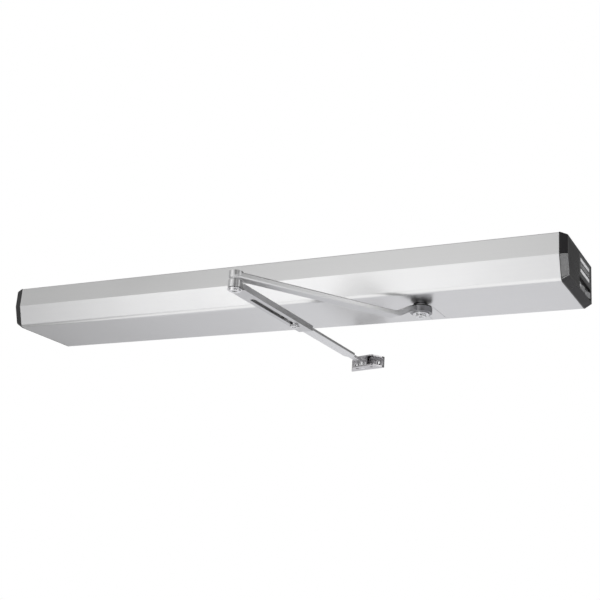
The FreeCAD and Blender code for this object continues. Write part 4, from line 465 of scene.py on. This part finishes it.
# Outer pieces: the solids again with their seams closed and their edges rounded.
# Lengths in millimetres, angles in degrees; wide names the edges that are rounder, by box and direction.
plainEdges = {"edge": 0.3, "sides": 3, "angle": 30}
rounded = {
    "cover": {"angle": 13, "wide": [{"box": ((-600, 600), (-150, -146), (34, 36)), "along": (1, 0, 0),
                                     "edge": 1.6}]},
    "slot_insert": {"edge": 0.25, "sides": 2},
    "back_plate": {"edge": 0.25, "sides": 2},
    "end_bracket_left": {"sides": 2},
    "end_bracket_right": {"sides": 2},
    "end_cap_left": {"edge": 0.2, "sides": 2, "angle": 13},
    "end_cap_right": {"edge": 0.2, "sides": 2, "angle": 13},
    "label_plate": {"edge": 0.2, "sides": 2},
    "program_switch": {"edge": 0.25},
    "power_switch": {"edge": 0.25},
    "program_rocker": {},
    "power_rocker": {},
    "spindle": {"edge": 0.25, "sides": 2},
    "main_arm": {"edge": 0.6, "sides": 4, "angle": 24,
                 "wide": [{"box": ((70, 115), (-376, -331), (-60, -50)), "along": None, "edge": 1.4}]},
    "hub_washer": {},
    "hub_screw": {},
    "elbow_screw": {},
    "forearm_channel": {},
    "forearm_bar": {"finish": "lit_bar_metal"},
    "clamp_screw": {},
    "clamp_nut": {},
    # The shoe takes the darker plating, which paints in its shade
    "shoe": {"edge": 0.5, "finish": "shaded_shoe_plating"},
    "shoe_pin": {},
    "closer_body": {"edge": 0.5, "sides": 2, "angle": 35},
    "cable_grommet": {"sides": 2},
}
cleaning = {"weld": 0.00001, "flat": 0.5, "parallel": 0.97, "shading": 60}


# Gives each sharp edge its own bevel width, as a share of the widest
def seamWidths(shape, edge, limit, wide):
    widest = max([edge] + [row["edge"] for row in wide])
    weights = shape.edges.layers.float.new("bevel_weight_edge")
    for seam in shape.edges:
        if len(seam.link_faces) != 2 or seam.calc_face_angle(0) < math.radians(limit):
            continue
        middle = (seam.verts[0].co + seam.verts[1].co) / 2
        width = edge
        for row in wide:
            inside = all(low <= value / mm <= high for value, (low, high) in zip(middle, row["box"]))
            run = (seam.verts[1].co - seam.verts[0].co).normalized()
            if inside and (row["along"] is None
                           or abs(run.dot(Vector(row["along"]))) > cleaning["parallel"]):
                width = row["edge"]
        seam[weights] = width / widest
    return widest


# Where the upright axis of a round piece stands, in millimetres
def axisOf(nodeName):
    low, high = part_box(nodeName)
    return tuple((low[k] + high[k]) / 2 / mm for k in (0, 1))


# The arm's neck is forged in one long S, where the solid has two bends.
# Millimetres: hub, From and To run along the arm from the spindle, crown and floor are heights.
spindleAxis = (265, -84)
elbowAxis = axisOf("elbow_screw")
armLine = Vector(elbowAxis) - Vector(spindleAxis)
armNeck = {"hub": 17.0, "crown": -42.5, "topFrom": 17.5, "topTo": 56.0, "topDrop": 15.5,
           "floor": -50.0, "lowFrom": 13.2, "lowTo": 51.5, "lowDrop": 16.0,
           "firstCut": 0.05, "cutBeyond": 2, "step": 1.6, "moveBeyond": 3, "least": 0.001}
upward, downward = Vector((0, 0, 1)), Vector((0, 0, -1))
farBelow, farAbove = Vector((0, 0, -0.2)), Vector((0, 0, 0.01))


def slope(place, start, end):
    share = min(max((place - start) / (end - start), 0), 1)
    return share * share * (3 - 2 * share)


def easeNeck(shape):
    neck = armNeck
    start = Vector((*spindleAxis, 0)) * mm
    line = Vector((*armLine.normalized(), 0))
    surface = BVHTree.FromBMesh(shape)
    place = neck["hub"] + neck["firstCut"]
    while place < neck["topTo"] + neck["cutBeyond"]:
        bmesh.ops.bisect_plane(shape, geom=shape.verts[:] + shape.edges[:] + shape.faces[:],
                               plane_co=start + line * place * mm, plane_no=line, dist=0.000001)
        place += neck["step"]
    moves = []
    for corner in shape.verts:
        along = (corner.co - start).dot(line) / mm
        height = corner.co.z / mm
        if not neck["lowFrom"] < along < neck["topTo"] + neck["moveBeyond"]:
            continue
        middle = start + line * along * mm
        low = surface.ray_cast(middle + farBelow, upward)[0].z / mm
        newLow = neck["floor"] - neck["lowDrop"] * slope(along, neck["lowFrom"], neck["lowTo"])
        if along > neck["hub"]:
            top = surface.ray_cast(middle + farAbove, downward)[0].z / mm
            newTop = neck["crown"] - neck["topDrop"] * slope(along, neck["topFrom"], neck["topTo"])
            moves.append((corner, newLow + (newTop - newLow) * (height - low) / (top - low)))
        elif height < neck["floor"] - 5 * neck["least"]:
            share = (newLow - neck["floor"]) / min(low - neck["floor"], -neck["least"])
            moves.append((corner, neck["floor"] + (height - neck["floor"]) * share))
    for corner, height in moves:
        corner.co.z = height * mm


shapers = {"main_arm": easeNeck}


# The finished piece that stands for a node: joined seams, rounded edges, its finish and its body
def roundOff(nodeName, edge, sides, angle, wide=(), finish=None):
    source = cadNodes[nodeName]
    shape = bmesh.new()
    shape.from_mesh(source.data)
    bmesh.ops.remove_doubles(shape, verts=shape.verts, dist=cleaning["weld"])
    bmesh.ops.dissolve_limit(shape, angle_limit=math.radians(cleaning["flat"]), verts=shape.verts,
                             edges=shape.edges)
    if nodeName in shapers:
        shapers[nodeName](shape)
    for face in shape.faces:
        face.smooth = True
    widest = seamWidths(shape, edge, angle, wide)
    mesh = bpy.data.meshes.new(nodeName + "Mesh")
    shape.to_mesh(mesh)
    shape.free()
    piece = bpy.data.objects.new(nodeName + "_finished", mesh)
    bpy.context.scene.collection.objects.link(piece)
    mesh.materials.append(finishes[finish or slotOf[nodeName]])
    bevel = piece.modifiers.new("edges", "BEVEL")
    bevel.width = widest * mm
    bevel.segments = sides
    bevel.limit_method = "WEIGHT"
    bevel.use_clamp_overlap = True
    shading = piece.modifiers.new("shading", "WEIGHTED_NORMAL")
    shading.weight = cleaning["shading"]
    for lit in litGroups.get(nodeName, ()):
        lit.objects.link(piece)
    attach(piece, nodeBody[nodeName])
    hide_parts(nodeName)
    return piece


for name, values in rounded.items():
    roundOff(name, **{**plainEdges, **values})
print("outer pieces:", len(rounded))

# Closing spring: the coil rounded off, with a mesh of its own
springEdges = {"edge": 0.2, "sides": 1, "angle": 50}
coil = roundOff("closing_spring", **springEdges)
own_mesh(coil)


# Geometry node trees for what repeats
def startTree(name, sockets):
    tree = bpy.data.node_groups.new(name, "GeometryNodeTree")
    for socketName, kind in sockets:
        tree.interface.new_socket(socketName, in_out="INPUT", socket_type="NodeSocket" + kind)
    tree.interface.new_socket("Geometry", in_out="OUTPUT", socket_type="NodeSocketGeometry")
    given = tree.nodes.new("NodeGroupInput").outputs
    return tree, given


def endTree(tree, given, geometry):
    real = addNode(tree, "GeometryNodeRealizeInstances", {"Geometry": geometry})
    painted = addNode(tree, "GeometryNodeSetMaterial",
                      {"Geometry": real.outputs[0], "Material": given["Material"]})
    end = tree.nodes.new("NodeGroupOutput")
    tree.links.new(painted.outputs[0], end.inputs[0])
    return tree


# A grid of blocks, each with its own random share of the full size
def makeRowTree():
    tree, given = startTree("rowOfBlocks", [
        ("Columns", "Int"), ("Rows", "Int"), ("Width", "Float"), ("Height", "Float"), ("Block", "Vector"),
        ("Shortest", "Vector"), ("Seed", "Int"), ("Material", "Material")])
    places = addNode(tree, "GeometryNodeMeshGrid", {
        "Size X": given["Width"], "Size Y": given["Height"],
        "Vertices X": given["Columns"], "Vertices Y": given["Rows"]})
    block = addNode(tree, "GeometryNodeMeshCube", {"Size": given["Block"]})
    shares = addNode(tree, "FunctionNodeRandomValue", {0: given["Shortest"], 1: (1.0, 1.0, 1.0),
                                                       "Seed": given["Seed"]}, data_type="FLOAT_VECTOR")
    row = addNode(tree, "GeometryNodeInstanceOnPoints", {
        "Points": places.outputs["Mesh"], "Instance": block.outputs["Mesh"], "Scale": shares.outputs[0]})
    return endTree(tree, given, row.outputs[0])


# Blocks on a circle, each facing outward
def makeRingTree():
    tree, given = startTree("ringOfTeeth", [
        ("Count", "Int"), ("Radius", "Float"), ("Block", "Vector"), ("Material", "Material")])
    places = addNode(tree, "GeometryNodeMeshCircle",
                     {"Vertices": given["Count"], "Radius": given["Radius"]})
    spot = addNode(tree, "GeometryNodeInputPosition")
    facing = addNode(tree, "FunctionNodeAlignRotationToVector", {"Vector": spot.outputs[0]}, axis="X")
    block = addNode(tree, "GeometryNodeMeshCube", {"Size": given["Block"]})
    ring = addNode(tree, "GeometryNodeInstanceOnPoints", {
        "Points": places.outputs["Mesh"], "Instance": block.outputs["Mesh"], "Rotation": facing.outputs[0]})
    return endTree(tree, given, ring.outputs[0])


# Flat rings of rectangular section, stacked
def makeBandTree():
    tree, given = startTree("roundBands", [
        ("Count", "Int"), ("Step", "Float"), ("Radius", "Float"), ("Width", "Float"), ("Height", "Float"),
        ("Sides", "Int"), ("Material", "Material")])
    circle = addNode(tree, "GeometryNodeCurvePrimitiveCircle", {"Resolution": given["Sides"],
                                                                 "Radius": given["Radius"]}, mode="RADIUS")
    section = addNode(tree, "GeometryNodeCurvePrimitiveQuadrilateral", {"Width": given["Width"],
                                                                        "Height": given["Height"]})
    band = addNode(tree, "GeometryNodeCurveToMesh", {"Curve": circle.outputs[0],
                                                     "Profile Curve": section.outputs[0]})
    step = addNode(tree, "ShaderNodeCombineXYZ", {"Z": given["Step"]})
    stack = addNode(tree, "GeometryNodeMeshLine", {"Count": given["Count"], "Offset": step.outputs[0]})
    bands = addNode(tree, "GeometryNodeInstanceOnPoints", {
        "Points": stack.outputs[0], "Instance": band.outputs[0]})
    return endTree(tree, given, bands.outputs[0])


trees = {"row": makeRowTree(), "ring": makeRingTree(), "band": makeBandTree()}


# A matrix that puts z along facing and x as near to along as it goes; places are in millimetres
def placed(at, facing, along):
    z = Vector(facing).normalized()
    x = (Vector(along) - z * z.dot(Vector(along))).normalized()
    turn = Matrix((x, z.cross(x), z)).transposed().to_4x4()
    return Matrix.Translation(Vector(at) * mm) @ turn


trimEdges = {"sides": 2, "angle": 40}


# One piece from a node tree, set down at every spot
def grow(name, kind, values, spots, body, slotName, edge=0.0):
    tree = trees[kind]
    finish = finishes[slotName]
    maker = bpy.data.objects.new(name, bpy.data.meshes.new(name))
    bpy.context.scene.collection.objects.link(maker)
    growth = maker.modifiers.new("growth", "NODES")
    growth.node_group = tree
    for item in tree.interface.items_tree:
        if item.in_out == "INPUT":
            growth[item.identifier] = finish if item.name == "Material" else values[item.name]
    bpy.context.view_layer.update()
    made = bpy.data.meshes.new_from_object(maker.evaluated_get(bpy.context.evaluated_depsgraph_get()))
    maker.modifiers.remove(growth)
    joined = bmesh.new()
    for spot in spots:
        part = made.copy()
        part.transform(spot)
        joined.from_mesh(part)
        bpy.data.meshes.remove(part)
    joined.to_mesh(maker.data)
    joined.free()
    bpy.data.meshes.remove(made)
    maker.data.materials.append(finish)
    if edge:
        bevel = maker.modifiers.new("edges", "BEVEL")
        bevel.width = edge * mm
        bevel.segments = trimEdges["sides"]
        bevel.angle_limit = math.radians(trimEdges["angle"])
    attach(maker, body)


def rowValues(columns, rows, width, height, block, shortest=(1, 1, 1), seed=1):
    return {"Columns": columns, "Rows": rows, "Width": width * mm, "Height": height * mm,
            "Block": tuple(side * mm for side in block), "Shortest": shortest, "Seed": seed}


def ringValues(count, radius, block):
    return {"Count": count, "Radius": radius * mm, "Block": tuple(side * mm for side in block)}


def bandValues(inner, outer, height, count=1, step=0.0, sides=48):
    return {"Count": count, "Step": step * mm, "Radius": (inner + outer) / 2 * mm,
            "Width": (outer - inner) * mm, "Height": height * mm, "Sides": sides}


# Spots for the trim
def onPlate(height):
    return [placed((507.0, -43.5, height), (1, 0, 0), (0, 1, 0))]


def onAxis(axis, height):
    return [placed((*axis, height), (0, 0, 1), (1, 0, 0))]


# Plain bars on the rating plate, where the object has its printed lines
barValues = rowValues(columns=11, rows=1, width=50, height=0, block=(4.4, 5.6, 0.6),
                      shortest=(0.72, 0.8, 1.0), seed=7)
plateTrim = {
    "plateBarHigh": {"values": barValues, "spots": onPlate(19.0)},
    "plateBarLow": {"values": barValues, "spots": onPlate(2.3)},
    "plateLines": {"values": rowValues(columns=2, rows=2, width=27, height=3.2, block=(27, 0.4, 0.4)),
                   "spots": onPlate(10.8)},
}
for name, trim in plateTrim.items():
    grow(name, "row", **trim, body="operator", slotName="print")

# Tactile marks on the rockers: a bar and a ring, and three bars
tactileBar = (0.7, 3.4, 0.5)
rockerTrim = {
    "powerRockerBar": {"kind": "row", "values": rowValues(1, 1, 0, 0, tactileBar), "body": "power_rocker",
                       "spots": [placed((504.9, -28.5, -19.7), (1, 0.008, 0), (0, 1, 0))]},
    "powerRockerRing": {"kind": "band", "values": bandValues(inner=1.2, outer=1.8, height=0.5, sides=24),
                        "body": "power_rocker",
                        "spots": [placed((505.3, -18.0, -19.7), (0.968, -0.25, 0), (0, 1, 0))]},
    "programRockerBars": {"kind": "row", "values": rowValues(3, 1, 4.4, 0, tactileBar),
                          "body": "program_rocker",
                          "spots": [placed((505.8, -66.0, -19.7), (0.995, 0.1, 0), (0, 1, 0))]},
}
for name, trim in rockerTrim.items():
    grow(name, **trim, slotName="print")
print("plate and rocker marks ready")

# A black ring of painted shade in the gap over the hub, and the washers and teeth of the arm's joints
clampAxis = axisOf("clamp_screw")
armTrim = {
    # The first ring is black rubber on the spindle over the hub: painted shade for the dark gap between hub
    # and cover
    "dustSeal": {"kind": "band", "values": bandValues(inner=12.3, outer=15.9, height=2.2),
                 "spots": onAxis(spindleAxis, -40.3), "body": "spindle", "slotName": "rubber", "edge": 0.3},
    "hubWasherTeeth": {"kind": "ring", "values": ringValues(count=36, radius=11.2, block=(1.3, 0.8, 0.4)),
                       "spots": onAxis(spindleAxis, -52.0), "body": "spindle", "slotName": "chrome"},
    "elbowWasher": {"kind": "band", "values": bandValues(inner=8.7, outer=10.6, height=0.8),
                    "spots": onAxis(elbowAxis, -82.3), "body": "forearm", "slotName": "chrome",
                    "edge": 0.2},
    "clampScrewKnurl": {"kind": "ring", "values": ringValues(count=32, radius=6.45, block=(0.5, 0.6, 2.6)),
                        "spots": onAxis(clampAxis, -84.4), "body": nodeBody["clamp_screw"],
                        "slotName": "chrome"},
}
for name, trim in armTrim.items():
    grow(name, **trim)

# Rims round the shoe's two screw holes
mounts = {row["name"]: row for row in frame["record"]["mounts"]}
rimBack = 2.6
rimSpots = []
for name in ("shoe_screw_left", "shoe_screw_right"):
    axis = Vector(mounts[name]["axis"])
    rimSpots.append(placed(Vector(mounts[name]["pos_m"]) / mm - axis * rimBack, axis, (0, 0, 1)))
grow("shoeHoleRims", "band", bandValues(inner=2.9, outer=4.6, height=0.7, sides=32), rimSpots, "shoe",
     "chrome", 0.2)


# The height of a piece's underside at a place, in millimetres
def under(nodeName, x, y):
    data = cadNodes[nodeName].data
    surface = BVHTree.FromPolygons([v.co for v in data.vertices], [p.vertices for p in data.polygons])
    return surface.ray_cast(Vector((x * mm, y * mm, 0)) + farBelow, upward)[0].z / mm


# Two rows of small pips under the arm, share of the way back from the elbow to the spindle
armPips = {"share": 0.17, "columns": 6, "rows": 2, "pitch": 2.6, "block": (1.3, 1.3, 0.5)}
pipPlace = Vector(elbowAxis) - armLine * armPips["share"]
pipSpot = placed((*pipPlace, under("main_arm", *pipPlace)), (0, 0, -1), (*armLine, 0))
grow("armPips", "row",
     rowValues(armPips["columns"], armPips["rows"], armPips["pitch"] * (armPips["columns"] - 1),
               armPips["pitch"], armPips["block"]),
     [pipSpot], "spindle", "arm_metal", 0.3)
print("arm pieces ready")
